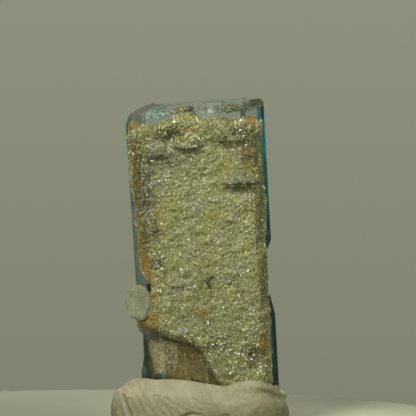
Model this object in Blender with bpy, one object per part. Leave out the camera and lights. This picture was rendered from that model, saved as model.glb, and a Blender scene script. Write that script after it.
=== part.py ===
"""Aquamarine on muscovite: a flattened aquamarine prism coated with muscovite, set in a roll of putty.

Blender 4.5, metres, Z up. The putty stands on z = 0 and the coated broad face of the prism looks along -Y.
The prism and all that grows on it are modelled upright in the prism's own frame, with the foot of the prism
at its origin, and an empty then leans them and sets them in the putty.
"""

import bisect
import math
import random

import bmesh
import bpy
from mathutils import Matrix, Vector, noise

MM = 0.001

# The prism, in millimetres. Its section is a hexagon with angles of 120 degrees, flattened front to back.
PRISM_LENGTH = 25.7
PRISM_HALF_WIDTH = 5.86
PRISM_HALF_DEPTH = 2.8
FOOT_SCALE = 0.99
TOP_SCALE = 1.006
SLOPE = math.radians(60)
SIDE_RUN = PRISM_HALF_DEPTH / math.tan(SLOPE)
BROAD_HALF = PRISM_HALF_WIDTH - SIDE_RUN
SIDE_WIDTH = PRISM_HALF_DEPTH / math.sin(SLOPE)
STRIATION_DEPTH = (0.006, 0.016)
STRIATION_WIDTH = (0.35, 0.95)
STRIATION_RISER = 0.12

# Where the prism stands in the putty, and how it leans to the left.
FOOT = (1.05, 0.0, 1.95)
LEAN = math.radians(-3.4)

# The clearance between two pieces that touch in the real specimen.
GAP = 0.05

# Muscovite coats. A place on the prism is a pair: the way round its section from the middle of a broad
# face (the girth), and the height above its foot. Both are in millimetres.
FRONT, BACK = -1, 1
CORNER_ROUNDING = 0.7
COAT_THICKNESS = 0.5
THINNEST = 0.15
THICKEST = 1.25
RIM_THICKNESS = 0.14
RIM_RUN = 0.55
RAGGEDNESS = 0.16

FRONT_TOP = [(-6.9, 24.0), (-5.9, 24.45), (-5.2, 24.1), (-4.5, 24.25), (-3.7, 24.05), (-2.3, 24.45),
             (-1.1, 24.95), (-0.4, 25.0), (0.2, 24.5), (1.6, 24.3), (2.2, 24.5), (3.2, 24.2), (4.2, 24.35),
             (5.2, 24.3), (6.3, 23.8), (6.9, 23.3)]
FRONT_BOTTOM = [(-6.7, 6.45), (-5.1, 6.75), (-4.0, 6.5), (-2.8, 5.9), (-1.1, 5.35), (-0.3, 4.3),
                (-0.1, 3.5), (0.6, 2.2), (1.1, 1.35), (2.1, 1.2), (6.0, 1.2)]
FRONT_LEFT = [(6.4, -7.0), (7.6, -7.1), (8.2, -5.4), (8.9, -4.8), (9.9, -4.75), (10.15, -4.42),
              (10.7, -4.42), (10.95, -5.0), (11.4, -5.4), (11.9, -5.85), (12.6, -6.05), (14.3, -6.15),
              (15.9, -6.35), (17.2, -6.1), (18.0, -6.7), (21.0, -6.8), (24.5, -6.5)]
FRONT_RIGHT = [(1.2, 5.8), (3.6, 5.85), (6.1, 6.1), (8.2, 6.1), (9.6, 5.9), (11.2, 6.1), (13.2, 6.0),
               (15.8, 6.4), (17.1, 6.65), (18.0, 6.3), (20.5, 6.0), (23.3, 6.1)]
BACK_TOP = [(-6.4, 22.6), (-4.6, 23.4), (-3.2, 22.7), (-2.2, 20.6), (-1.0, 18.4), (0.2, 16.8), (1.1, 15.8),
            (2.0, 16.4), (2.9, 19.5), (3.5, 23.2), (4.0, 24.9), (5.2, 25.1), (6.4, 24.4)]
BACK_BOTTOM = [(-6.4, 3.5), (-4.4, 3.35), (-3.5, 3.2), (-3.0, 1.9), (-2.4, 1.2), (4.0, 1.2), (6.4, 1.6)]
BACK_LEFT = [(1.2, -5.4), (3.3, -5.7), (3.9, -6.1), (4.8, -6.0), (5.7, -5.1), (6.6, -4.9), (9.0, -5.6),
             (13.0, -6.1), (18.0, -5.6), (23.0, -5.9)]
BACK_RIGHT = [(1.2, 5.4), (4.0, 5.7), (7.0, 5.2), (10.0, 5.9), (13.0, 5.5), (16.5, 6.0), (20.0, 5.6),
              (24.5, 5.9)]

# Lumps and hollows: girth, height, reach along the girth, reach upwards, how far out (in, if negative).
FRONT_SWELLS = [
    (2.1, 23.3, 0.75, 0.75, 0.4), (3.65, 23.5, 0.4, 0.6, 0.34), (5.1, 23.5, 0.8, 0.7, 0.36),
    (-1.8, 24.4, 1.2, 0.5, 0.2),
    (0.0, 22.8, 0.9, 0.55, 0.26), (-4.9, 23.4, 0.8, 0.6, 0.14), (2.9, 21.3, 0.9, 0.5, 0.12),
    (-3.0, 15.9, 0.7, 0.7, 0.12), (-3.5, 13.3, 0.35, 0.8, 0.2), (-0.4, 5.5, 0.9, 0.5, 0.24),
    (0.4, 3.9, 0.5, 0.6, 0.18), (1.8, 3.5, 0.55, 1.3, 0.28), (-3.7, 7.5, 0.6, 0.6, 0.14),
    (1.0, 7.6, 1.5, 0.8, 0.12), (3.6, 11.6, 1.1, 1.4, 0.12), (-1.2, 12.0, 1.4, 1.6, 0.08),
    (-2.5, 22.9, 0.9, 0.8, -0.3), (-4.8, 19.8, 0.4, 2.8, -0.24), (5.1, 15.6, 0.55, 1.9, -0.26),
    (3.6, 18.2, 1.3, 0.45, -0.26), (-3.9, 14.3, 0.4, 1.1, -0.18), (3.75, 4.0, 0.7, 1.1, -0.3),
    (0.4, 19.6, 1.3, 1.3, -0.1), (-0.6, 8.9, 0.7, 0.5, -0.12), (4.9, 21.2, 0.5, 1.2, -0.16),
]
BACK_SWELLS = [
    (-3.4, 20.4, 1.3, 1.2, 0.36), (-5.0, 16.2, 0.8, 1.2, 0.2), (-1.6, 14.0, 1.6, 1.3, 0.34),
    (2.8, 11.2, 1.5, 0.9, 0.36), (-2.9, 8.2, 1.2, 1.0, 0.3), (1.2, 5.4, 1.5, 1.1, 0.3),
    (-3.4, 3.6, 0.9, 0.8, 0.2), (4.6, 6.8, 0.8, 1.2, 0.2), (0.2, 10.4, 1.0, 1.2, -0.25),
    (-4.3, 11.9, 0.6, 1.0, -0.22), (3.2, 3.2, 0.9, 0.7, -0.2), (-0.8, 17.0, 0.6, 0.7, -0.15),
    (4.7, 20.5, 0.7, 1.4, 0.25), (4.9, 23.6, 0.6, 0.8, 0.22), (4.0, 17.6, 0.8, 0.8, 0.26),
]
# Ledges that overhang what is below them: girth, height of the lip, half width, height out, run upwards.
FRONT_LEDGES = [(-0.7, 22.05, 0.95, 0.46, 0.8), (3.6, 18.8, 1.3, 0.46, 0.9), (3.0, 22.45, 1.2, 0.4, 0.9),
                (-3.3, 21.5, 0.6, 0.26, 0.6), (1.4, 5.9, 0.8, 0.2, 0.6), (-2.2, 10.4, 0.9, 0.16, 0.7)]
BACK_LEDGES = [(-3.2, 19.0, 1.3, 0.36, 1.0), (-1.4, 12.4, 1.5, 0.34, 1.0), (3.0, 10.1, 1.4, 0.34, 0.9),
               (-2.8, 6.9, 1.2, 0.3, 0.9), (1.2, 4.2, 1.3, 0.28, 0.9)]

FRONT_SEED, BACK_SEED = 20.0, 50.0

# The black tourmaline. The grain has a length and radius, a place on the prism, how proud of it the grain
# is, and its lean in the picture. The sprig forks at a place on the prism, and each arm has a length, a
# radius and the way it points, from straight up towards the right.
GRAIN_SIZE = (0.42, 0.17)
GRAIN_PLACE = (-4.8, 10.42)
GRAIN_PROUD = 0.05
GRAIN_LIE = math.radians(4)
SPRIG_FORK = (0.26, 10.61)
SPRIG_ARMS = [(0.68, 0.085, math.radians(40)), (0.66, 0.06, math.radians(159)),
              (0.36, 0.05, math.radians(-46))]

# The pale plate: its middle in the prism's frame, its size and how it is turned from facing the front.
PLATE_MIDDLE = (-5.72, -2.02, 9.1)
PLATE_HALF_WIDTH = 1.5
PLATE_HALF_HEIGHT = 1.6
PLATE_SHEETS = (0.09, 0.07, 0.06)
PLATE_TURN = math.radians(-38)

# The putty. Its plan is a rounded oblong, and its ridge follows these heights from left to right.
PUTTY_HALF_LENGTH = 7.65
PUTTY_HALF_DEPTH = 5.4
PUTTY_SQUARENESS = 2.5
PUTTY_POINTS = 72
RIDGE = [(-7.4, 4.3), (-6.8, 4.34), (-5.9, 4.26), (-4.6, 4.32), (-2.0, 4.38), (-0.8, 4.3), (0.45, 4.06),
         (1.3, 3.94), (2.15, 3.88), (3.4, 4.26), (4.25, 4.35), (5.3, 4.2), (6.0, 4.05), (6.4, 3.78),
         (6.85, 3.36), (7.4, 3.1)]
BACK_RIDGE = 3.55
END_DROP = 0.8
COAT_ROOM = 0.85


def between(points, at):
    """Height of the line through the points, (at, height) pairs in rising order, held level past its ends."""
    places = [place for place, _ in points]
    k = bisect.bisect_right(places, at)
    if k == 0:
        return points[0][1]
    if k == len(points):
        return points[-1][1]
    (x0, y0), (x1, y1) = points[k - 1], points[k]
    return y0 + (y1 - y0) * (at - x0) / (x1 - x0)


def smooth(value):
    """Smooth step from 0 at 0 to 1 at 1."""
    value = min(max(value, 0.0), 1.0)
    return value * value * (3 - 2 * value)


def new_object(name, bm, collection, material=None, parent=None):
    """Turn a bmesh into an object in a collection."""
    mesh = bpy.data.meshes.new(name)
    bm.to_mesh(mesh)
    bm.free()
    obj = bpy.data.objects.new(name, mesh)
    if material:
        mesh.materials.append(material)
    obj.parent = parent
    collection.objects.link(obj)
    return obj


def new_material(name, colour, roughness, transmission=0.0, ior=1.5):
    """Principled material of one piece."""
    material = bpy.data.materials.new(name)
    material.use_nodes = True
    shader = material.node_tree.nodes["Principled BSDF"]
    shader.inputs["Base Color"].default_value = (*colour, 1)
    shader.inputs["Roughness"].default_value = roughness
    shader.inputs["Metallic"].default_value = 0.0
    shader.inputs["Transmission Weight"].default_value = transmission
    shader.inputs["IOR"].default_value = ior
    return material


def cut(obj, cutter):
    """Take the cutter out of the object, and keep it as a wire outline that isn't rendered."""
    cutter.display_type = "WIRE"
    cutter.hide_render = True
    modifier = obj.modifiers.new(cutter.name, "BOOLEAN")
    modifier.operation = "DIFFERENCE"
    modifier.object = cutter


def grow_together(obj, other):
    """Join another crystal to the object, and keep it as a wire outline that isn't rendered."""
    cut(obj, other)
    obj.modifiers[other.name].operation = "UNION"


def prism_scale(height):
    """Size of the section at a height, because the prism widens a little upwards."""
    return FOOT_SCALE + (TOP_SCALE - FOOT_SCALE) * height / PRISM_LENGTH


def on_prism(girth, height, proud, facing):
    """Point that stands proud of the prism's face, in the prism's frame, in millimetres."""
    way = abs(girth)
    past = max(way - BROAD_HALF, 0.0)
    x = min(way, BROAD_HALF) + past * math.cos(SLOPE)
    y = PRISM_HALF_DEPTH - past * math.sin(SLOPE)
    turn = SLOPE * smooth(0.5 + (way - BROAD_HALF) / (2 * CORNER_ROUNDING))
    scale = prism_scale(height)
    x = x * scale + proud * math.sin(turn)
    y = y * scale + proud * math.cos(turn)
    return Vector((math.copysign(x, girth), facing * y, height)) * MM


def striated_section(seed):
    """Outline of the prism's section: six faces with shallow growth steps that run up the prism."""
    chance = random.Random(seed)
    corners = [(PRISM_HALF_WIDTH, 0.0), (BROAD_HALF, PRISM_HALF_DEPTH), (-BROAD_HALF, PRISM_HALF_DEPTH),
               (-PRISM_HALF_WIDTH, 0.0), (-BROAD_HALF, -PRISM_HALF_DEPTH), (BROAD_HALF, -PRISM_HALF_DEPTH)]
    outline = []
    for start, end in zip(corners, corners[1:] + corners[:1]):
        start, end = Vector(start), Vector(end)
        along = (end - start).normalized()
        inwards = Vector((-along.y, along.x))
        length = (end - start).length
        outline.append(start)
        place, sunk = chance.uniform(*STRIATION_WIDTH), False
        while place < length - STRIATION_WIDTH[0]:
            depth = chance.uniform(*STRIATION_DEPTH)
            width = chance.uniform(*STRIATION_WIDTH)
            if sunk:
                outline.append(start + along * place + inwards * depth_before)
                outline.append(start + along * (place + STRIATION_RISER))
            else:
                outline.append(start + along * place)
                outline.append(start + along * (place + STRIATION_RISER) + inwards * depth)
                depth_before = depth
            sunk = not sunk
            place += width
        if sunk:
            last = length - STRIATION_WIDTH[0] / 2
            outline.append(start + along * last + inwards * depth_before)
            outline.append(start + along * (last + STRIATION_RISER))
    return outline


def block(name, collection, parent, middle, size, turn=(0, 0, 0)):
    """Box cutter in the prism's frame, turned about its own middle."""
    bm = bmesh.new()
    bmesh.ops.create_cube(bm, size=1.0)
    bmesh.ops.scale(bm, vec=Vector(size) * MM, verts=bm.verts)
    obj = new_object(name, bm, collection, parent=parent)
    obj.location = Vector(middle) * MM
    obj.rotation_euler = [math.radians(angle) for angle in turn]
    return obj


def make_aquamarine(parts, cutters, frame, material):
    """The prism with its growth steps, chipped top, broken edges and the shallow steps on its top face."""
    outline = striated_section(seed=11)
    bm = bmesh.new()
    circle = bmesh.ops.create_circle(bm, cap_ends=True, segments=len(outline), radius=1.0)
    for vertex, point in zip(circle["verts"], outline):
        vertex.co = Vector((point.x * FOOT_SCALE, point.y * FOOT_SCALE, 0)) * MM
    lid = bmesh.ops.extrude_face_region(bm, geom=bm.faces[:])
    top = [item for item in lid["geom"] if isinstance(item, bmesh.types.BMVert)]
    bmesh.ops.scale(bm, vec=(TOP_SCALE / FOOT_SCALE, TOP_SCALE / FOOT_SCALE, 1), verts=top)
    bmesh.ops.translate(bm, vec=(0, 0, PRISM_LENGTH * MM), verts=top)
    bmesh.ops.recalc_face_normals(bm, faces=bm.faces)
    prism = new_object("aquamarine", bm, parts, material, frame)

    deep = 4 * PRISM_HALF_DEPTH
    # The left shoulder slopes down by about 16 degrees and ends in a steep corner facet.
    shoulder = block("cut_shoulder", cutters, frame, (-5.35, 0.15, 26.57), (5, deep, 3), (3, -16.3, 4))
    corner = block("cut_corner", cutters, frame, (-6.98, 0, 25.34), (3, deep, 4), (0, 26, -5))
    right_corner = block("cut_right_corner", cutters, frame, (6.98, 0, 26.47), (2, deep, 3), (0, 40, 0))
    # Broken stretches of the right and left edges.
    right_bevel = block("cut_right_bevel", cutters, frame, (6.53, 0, 12.75), (2.0, deep, 1.9), (0, 26, 0))
    right_break = block("cut_right_break", cutters, frame, (6.36, 0, 10.55), (2.0, deep, 3.2), (0, 1.5, 0))
    right_run_out = block("cut_right_run_out", cutters, frame, (6.6, 0, 8.5), (2.0, deep, 2.6), (0, -12, 0))
    left_bevel = block("cut_left_bevel", cutters, frame, (-6.66, 0, 6.7), (2.0, deep, 1.5), (0, -14.6, 0))
    left_break = block("cut_left_break", cutters, frame, (-6.52, 0, 5.35), (2.0, deep, 1.9), (0, 2.5, 0))
    left_run_out = block("cut_left_run_out", cutters, frame, (-6.62, 0, 3.99), (2.0, deep, 1.4), (0, 11, 0))
    for cutter in (shoulder, corner, right_corner, right_bevel, right_break, right_run_out, left_bevel,
                   left_break, left_run_out):
        cut(prism, cutter)

    # Hexagonal growth steps sunk in the top face: middle across, middle in depth, radius, depth.
    steps = [(-2.3, 1.9, 1.5, 0.13), (1.7, -2.0, 1.05, 0.1), (3.9, 1.5, 1.3, 0.07), (0.2, 0.4, 0.8, 0.05)]
    for number, (x, y, radius, depth) in enumerate(steps, 1):
        bm = bmesh.new()
        bmesh.ops.create_cone(bm, cap_ends=True, segments=6, radius1=radius * MM, radius2=radius * MM * 1.1,
                              depth=1.0 * MM)
        step = new_object(f"cut_step_{number}", bm, cutters, parent=frame)
        step.location = Vector((x, y, PRISM_LENGTH + 0.5 - depth)) * MM
        cut(prism, step)

    # The shell-shaped chip in the front edge of the top.
    bm = bmesh.new()
    bmesh.ops.create_uvsphere(bm, u_segments=20, v_segments=12, radius=1.3 * MM)
    chip = new_object("cut_chip", bm, cutters, parent=frame)
    chip.location = Vector((1.15, -PRISM_HALF_DEPTH - 0.78, 25.35)) * MM
    chip.scale = (0.95, 1, 0.8)
    cut(prism, chip)
    return prism


def swelling(places, girth, height):
    """Sum of the lumps and hollows at a place, in millimetres."""
    total = 0.0
    for g, h, reach_g, reach_h, out in places:
        away = ((girth - g) / reach_g) ** 2 + ((height - h) / reach_h) ** 2
        if away < 9:
            total += out * math.exp(-away)
    return total


def ledge_height(ledges, girth, height):
    """Sum of the ledges: full height just above each lip, none below it."""
    total = 0.0
    for g, lip, half_width, out, run in ledges:
        up = height - lip + 0.12 * noise.noise(Vector((girth * 2.1, lip, 3.3)))
        if 0 < up < 4 * run:
            side = smooth(1.6 * (1 - abs(girth - g) / (half_width * 1.35)))
            total += out * side * math.exp(-up / run)
    return total


def druse(girth, height, seed):
    """Height of the druse's own unevenness: clusters of about a millimetre, and knobs a third of that."""
    place = Vector((girth, height, seed))
    clusters = noise.fractal(place * 0.85, 0.6, 2.1, 3)
    knobs = noise.noise(place * 2.3 + Vector((7, 3, 1)))
    return 0.17 * clusters + 0.1 * knobs


def coat_thickness(girth, height, seed, swells, ledges):
    """Thickness of a muscovite coat away from its rim, in millimetres."""
    thickness = COAT_THICKNESS + druse(girth, height, seed)
    thickness += swelling(swells, girth, height) + ledge_height(ledges, girth, height)
    return min(max(thickness, THINNEST), THICKEST)


def ragged(place, seed):
    """Unevenness of a coat's edge, in millimetres."""
    slow = noise.noise(Vector((place * 1.7, seed, 0.5)))
    fast = noise.noise(Vector((place * 4.1, seed, 9)))
    return RAGGEDNESS * (slow + fast)


def make_coat(name, parts, frame, material, facing, seed, top, bottom, left, right, swells, ledges, columns,
              rows):
    """A crust of muscovite over one broad face and part of the two faces beside it, as one closed solid.

    columns gives the grid's columns on the left side face, the broad face and the right side face, so that
    the grid has an edge along both corners of the prism.
    """
    nominal_side = 6.4
    stations = [-nominal_side, -BROAD_HALF, BROAD_HALF, nominal_side]
    total = sum(columns)
    bm = bmesh.new()
    bmesh.ops.create_grid(bm, x_segments=total, y_segments=rows, size=0.5)
    girth_layer = bm.verts.layers.float.new("girth")
    height_layer = bm.verts.layers.float.new("height")

    def rise(nominal, step):
        low = between(bottom, nominal) + ragged(nominal, seed + 1)
        high = between(top, nominal) + ragged(nominal, seed + 2)
        return low + (high - low) * step

    for vertex in bm.verts:
        column = round((vertex.co.x + 0.5) * total)
        step = vertex.co.y + 0.5
        section = 0 if column < columns[0] else 1 if column < columns[0] + columns[1] else 2
        part = (column - sum(columns[:section])) / columns[section]
        nominal = stations[section] + (stations[section + 1] - stations[section]) * part
        height = rise(nominal, step)
        left_end = between(left, height) + ragged(height, seed + 3)
        right_end = between(right, height) + ragged(height, seed + 4)
        ends = [left_end, -BROAD_HALF, BROAD_HALF, right_end]
        girth = ends[section] + (ends[section + 1] - ends[section]) * part
        inside = min(girth - left_end, right_end - girth)
        inside = min(inside, height - rise(nominal, 0), rise(nominal, 1) - height)
        full = coat_thickness(girth, height, seed, swells, ledges)
        thickness = RIM_THICKNESS + (full - RIM_THICKNESS) * smooth(inside / RIM_RUN)
        vertex[girth_layer] = girth
        vertex[height_layer] = height
        vertex.co = on_prism(girth, height, GAP + thickness, facing)

    rim = [edge for edge in bm.edges if edge.is_boundary]
    skirt = bmesh.ops.extrude_edge_only(bm, edges=rim)["geom"]
    for vertex in (item for item in skirt if isinstance(item, bmesh.types.BMVert)):
        vertex.co = on_prism(vertex[girth_layer], vertex[height_layer], GAP, facing)
    inner_rim = [edge for edge in bm.edges if edge.is_boundary]
    bmesh.ops.contextual_create(bm, geom=inner_rim)

    # The inner side lies on three faces of the prism, so it is split along the prism's two corners.
    for corner in (-BROAD_HALF, BROAD_HALF):
        inner = max(bm.faces, key=lambda face: len(face.verts))
        on_corner = [v for v in inner.verts if abs(v[girth_layer] - corner) < 1e-4]
        low = min(on_corner, key=lambda v: v.co.z)
        high = max(on_corner, key=lambda v: v.co.z)
        bmesh.utils.face_split(inner, low, high)
    bmesh.ops.recalc_face_normals(bm, faces=bm.faces)
    return new_object(name, bm, parts, material, frame)


def make_plate(parts, frame, material):
    """The pale mica plate: three sheets with rounded six-sided outlines, each set back a little."""
    bm = bmesh.new()
    points = 30
    circle = bmesh.ops.create_circle(bm, cap_ends=True, segments=points, radius=1.0)
    for k, vertex in enumerate(circle["verts"]):
        angle = math.tau * k / points
        six_sided = 0.965 + 0.035 * math.cos(6 * angle + 0.6)
        uneven = 1 + 0.03 * noise.noise(Vector((math.cos(angle) * 1.5, math.sin(angle) * 1.5, 4.2)))
        taper = 1 - 0.1 * smooth(0.5 - 0.9 * math.sin(angle)) * smooth(0.5 - math.cos(angle))
        radius = six_sided * uneven * taper
        vertex.co = Vector((PLATE_HALF_WIDTH * radius * math.cos(angle), 0,
                            PLATE_HALF_HEIGHT * radius * math.sin(angle))) * MM
    face = bm.faces[:]
    for number, thickness in enumerate(PLATE_SHEETS):
        if number:
            bmesh.ops.inset_region(bm, faces=face, thickness=0.07 * MM * number)
        lid = bmesh.ops.extrude_face_region(bm, geom=face)["geom"]
        if number:
            bmesh.ops.delete(bm, geom=face, context="FACES_ONLY")
        raised = [item for item in lid if isinstance(item, bmesh.types.BMVert)]
        face = [item for item in lid if isinstance(item, bmesh.types.BMFace)]
        bmesh.ops.translate(bm, vec=(0, -thickness * MM, 0), verts=raised)
    bmesh.ops.recalc_face_normals(bm, faces=bm.faces)
    plate = new_object("muscovite_plate", bm, parts, material, frame)
    plate.location = Vector(PLATE_MIDDLE) * MM
    plate.rotation_euler = (math.radians(-3), 0, PLATE_TURN)
    return plate


def needle(bm, length, radius):
    """Six-sided needle with pointed ends, along Z, added to a bmesh."""
    made = bmesh.ops.create_cone(bm, cap_ends=True, segments=6, radius1=radius * MM, radius2=radius * MM,
                                 depth=length * MM)
    for sign in (-1, 1):
        near = {face for vertex in made["verts"] for face in vertex.link_faces}
        end = [face for face in near if len(face.verts) == 6 and face.normal.z * sign > 0.5]
        tip = bmesh.ops.extrude_face_region(bm, geom=end)["geom"]
        tip = [item for item in tip if isinstance(item, bmesh.types.BMVert)]
        middle = sum((v.co for v in tip), Vector()) / len(tip)
        bmesh.ops.translate(bm, vec=(0, 0, sign * radius * MM), verts=tip)
        bmesh.ops.scale(bm, vec=(0.35, 0.35, 1), space=Matrix.Translation(-middle), verts=tip)
        bmesh.ops.delete(bm, geom=end, context="FACES_ONLY")


def top_of_front_coat(girth, height, reach):
    """How far the front coat stands proud of the prism, at most, within reach above and below a place."""
    heights = [height + reach * k / 6 for k in range(-6, 7)]
    return GAP + max(coat_thickness(girth, h, FRONT_SEED, FRONT_SWELLS, FRONT_LEDGES) for h in heights)


def make_grain(parts, frame, material):
    """The stout black tourmaline grain in the left edge of the front coat."""
    length, radius = GRAIN_SIZE
    bm = bmesh.new()
    needle(bm, length, radius)
    grain = new_object("schorl_grain", bm, parts, material, frame)
    grain.location = on_prism(*GRAIN_PLACE, GRAIN_PROUD + GAP + radius, FRONT)
    grain.rotation_euler = (0, GRAIN_LIE, 0)
    return grain


def make_sprig(parts, cutters, frame, material):
    """Three small black needles that meet in a fork, which lies on the front coat."""
    proud = top_of_front_coat(*SPRIG_FORK, SPRIG_ARMS[0][0])
    thickest = max(radius for _, radius, _ in SPRIG_ARMS)
    fork = on_prism(*SPRIG_FORK, proud + GAP + thickest, FRONT)
    arms = []
    for number, (length, radius, turn) in enumerate(SPRIG_ARMS):
        bm = bmesh.new()
        needle(bm, length, radius)
        name = "schorl_sprig" if number == 0 else f"sprig_arm_{number + 1}"
        arm = new_object(name, bm, cutters if number else parts, material, frame)
        middle = Vector((math.sin(turn), 0, math.cos(turn))) * (length / 2 - radius) * MM
        arm.location = fork + middle
        arm.rotation_euler = (0, turn, 0)
        arms.append(arm)
    for arm in arms[1:]:
        grow_together(arms[0], arm)
    return arms[0]


def ridge_height(x, y):
    """Height of the putty's ridge over a place in its plan."""
    uneven = 0.08 * noise.noise(Vector((x * 0.5, y * 0.5, 2.0)))
    behind = smooth(0.5 + y / 4)
    level = BACK_RIDGE + 0.25 * noise.noise(Vector((x * 0.35, 5.0, 1.0)))
    level -= END_DROP * smooth((abs(x) - 5.6) / 1.8)
    return (1 - behind) * between(RIDGE, x) + behind * level + uneven


def make_putty(parts, frame_matrix, material):
    """The roll of putty: a loft from its flat foot, round its outside, over its ridge and down the socket."""
    broad = PUTTY_POINTS * 5 // 18
    side = (PUTTY_POINTS - 2 * broad) // 4
    ring = []
    for k in range(broad):
        ring.append((BROAD_HALF * (1 - 2 * k / broad), BACK))
    for k in range(side):
        ring.append((-BROAD_HALF - SIDE_WIDTH * k / side, BACK))
    for k in range(side):
        ring.append((-BROAD_HALF - SIDE_WIDTH * (1 - k / side), FRONT))
    for k in range(broad):
        ring.append((-BROAD_HALF * (1 - 2 * k / broad), FRONT))
    for k in range(side):
        ring.append((BROAD_HALF + SIDE_WIDTH * k / side, FRONT))
    for k in range(side):
        ring.append((BROAD_HALF + SIDE_WIDTH * (1 - k / side), BACK))

    def socket(girth, facing, height, room):
        point = on_prism(girth, height, GAP + room, facing)
        return frame_matrix @ point / MM

    def room_for_coat(girth, facing):
        if abs(girth) > BROAD_HALF + 0.75 * SIDE_WIDTH:
            return 0.0
        fade = smooth((BROAD_HALF + 0.75 * SIDE_WIDTH - abs(girth)) / 1.2)
        start = smooth((girth - 0.2) / 0.8) if facing == FRONT else 1.0
        return COAT_ROOM * fade * start

    # Rings of the outside, from the foot up: how far inside the plan, and the height as part of the ridge.
    outside = [(1.0, 0.0), (0.42, 0.045), (0.1, 0.18), (0.0, 0.38), (0.1, 0.58), (0.38, 0.76)]
    # Rings of the top: part of the way from the plan to the socket, and the height as part of the ridge.
    over = [(0.34, 0.88), (0.46, 0.955), (0.6, 1.0), (0.74, 0.99), (0.87, 0.94), (0.95, 0.86)]
    rings = []
    for inset, rise in outside:
        rings.append([("out", inset, rise)] * PUTTY_POINTS)
    for part, rise in over:
        rings.append([("over", part, rise)] * PUTTY_POINTS)

    plans, sockets = [], []
    for girth, facing in ring:
        edge = socket(girth, facing, 1.6, room_for_coat(girth, facing))
        flat = Vector((edge.x, edge.y * 1.15)) - Vector((FOOT[0] * 0.5, 0))
        angle = math.atan2(flat.y / PUTTY_HALF_DEPTH, flat.x / PUTTY_HALF_LENGTH)
        c, s = math.cos(angle), math.sin(angle)
        power = 2 / PUTTY_SQUARENESS
        x = PUTTY_HALF_LENGTH * math.copysign(abs(c) ** power, c)
        y = PUTTY_HALF_DEPTH * math.copysign(abs(s) ** power, s)
        uneven = 1 + 0.02 * noise.noise(Vector((x * 0.4, y * 0.4, 8.0)))
        plans.append(Vector((x, y, 0)) * min(uneven, 1.0))
        sockets.append(edge)

    bm = bmesh.new()
    layers = []
    for row in rings:
        layer = []
        for k, (kind, amount, rise) in enumerate(row):
            plan, edge = plans[k], sockets[k]
            if kind == "out":
                place = plan - Vector((plan.x, plan.y, 0)).normalized() * amount
            else:
                place = plan.lerp(Vector((edge.x, edge.y, 0)), amount)
            level = ridge_height(place.x, place.y) * rise
            layer.append(bm.verts.new(Vector((place.x, place.y, level)) * MM))
        layers.append(layer)
    # The socket's wall narrows from the room that the coats need to the bare prism at its floor.
    for height, share in ((1.45, 1.0), (0.7, 0.5), (-GAP, 0.0)):
        layer = []
        for girth, facing in ring:
            point = socket(girth, facing, height, room_for_coat(girth, facing) * share)
            layer.append(bm.verts.new(point * MM))
        layers.append(layer)
    for lower, upper in zip(layers, layers[1:]):
        for k in range(PUTTY_POINTS):
            after = (k + 1) % PUTTY_POINTS
            bm.faces.new((lower[k], lower[after], upper[after], upper[k]))
    bm.faces.new(layers[0])
    bm.faces.new(layers[-1])
    bmesh.ops.recalc_face_normals(bm, faces=bm.faces)
    return new_object("mounting_putty", bm, parts, material)


def main():
    """Build the specimen."""
    for obj in list(bpy.data.objects):
        bpy.data.objects.remove(obj, do_unlink=True)
    parts = bpy.data.collections.new("aquamarine_on_muscovite")
    cutters = bpy.data.collections.new("cutters")
    for collection in (parts, cutters):
        bpy.context.scene.collection.children.link(collection)

    frame = bpy.data.objects.new("prism_axis", None)
    frame.location = Vector(FOOT) * MM
    frame.rotation_euler = (0, LEAN, 0)
    frame.empty_display_size = 2 * MM
    parts.objects.link(frame)
    frame_matrix = Matrix.Translation(frame.location) @ Matrix.Rotation(LEAN, 4, "Y")

    beryl = new_material("aquamarine_beryl", (0.30, 0.56, 0.60), 0.04, transmission=1.0, ior=1.577)
    mica = new_material("muscovite_druse", (0.33, 0.34, 0.16), 0.35)
    back_mica = new_material("muscovite_druse_back", (0.30, 0.30, 0.15), 0.38)
    sheet = new_material("muscovite_sheet", (0.36, 0.40, 0.27), 0.2, transmission=0.3, ior=1.58)
    schorl = new_material("schorl_black", (0.008, 0.008, 0.007), 0.25)
    putty = new_material("mineral_putty", (0.44, 0.41, 0.29), 0.7)

    make_aquamarine(parts, cutters, frame, beryl)
    make_coat("muscovite_front", parts, frame, mica, FRONT, FRONT_SEED, FRONT_TOP, FRONT_BOTTOM, FRONT_LEFT,
              FRONT_RIGHT, FRONT_SWELLS, FRONT_LEDGES, (4, 23, 5), 54)
    make_coat("muscovite_back", parts, frame, back_mica, BACK, BACK_SEED, BACK_TOP, BACK_BOTTOM, BACK_LEFT,
              BACK_RIGHT, BACK_SWELLS, BACK_LEDGES, (4, 18, 4), 34)
    make_plate(parts, frame, sheet)
    make_grain(parts, frame, schorl)
    make_sprig(parts, cutters, frame, schorl)
    make_putty(parts, frame_matrix, putty)


main()
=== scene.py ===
"""Looks of the aquamarine specimen: mica druse, clear beryl, black schorl and mineral putty, in a studio."""

import logging
import math
from collections.abc import Callable
from dataclasses import dataclass, field
from enum import Enum
from functools import partial

import bmesh
import bpy
import numpy as np
from mathutils import Euler, Matrix, Vector, noise


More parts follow.
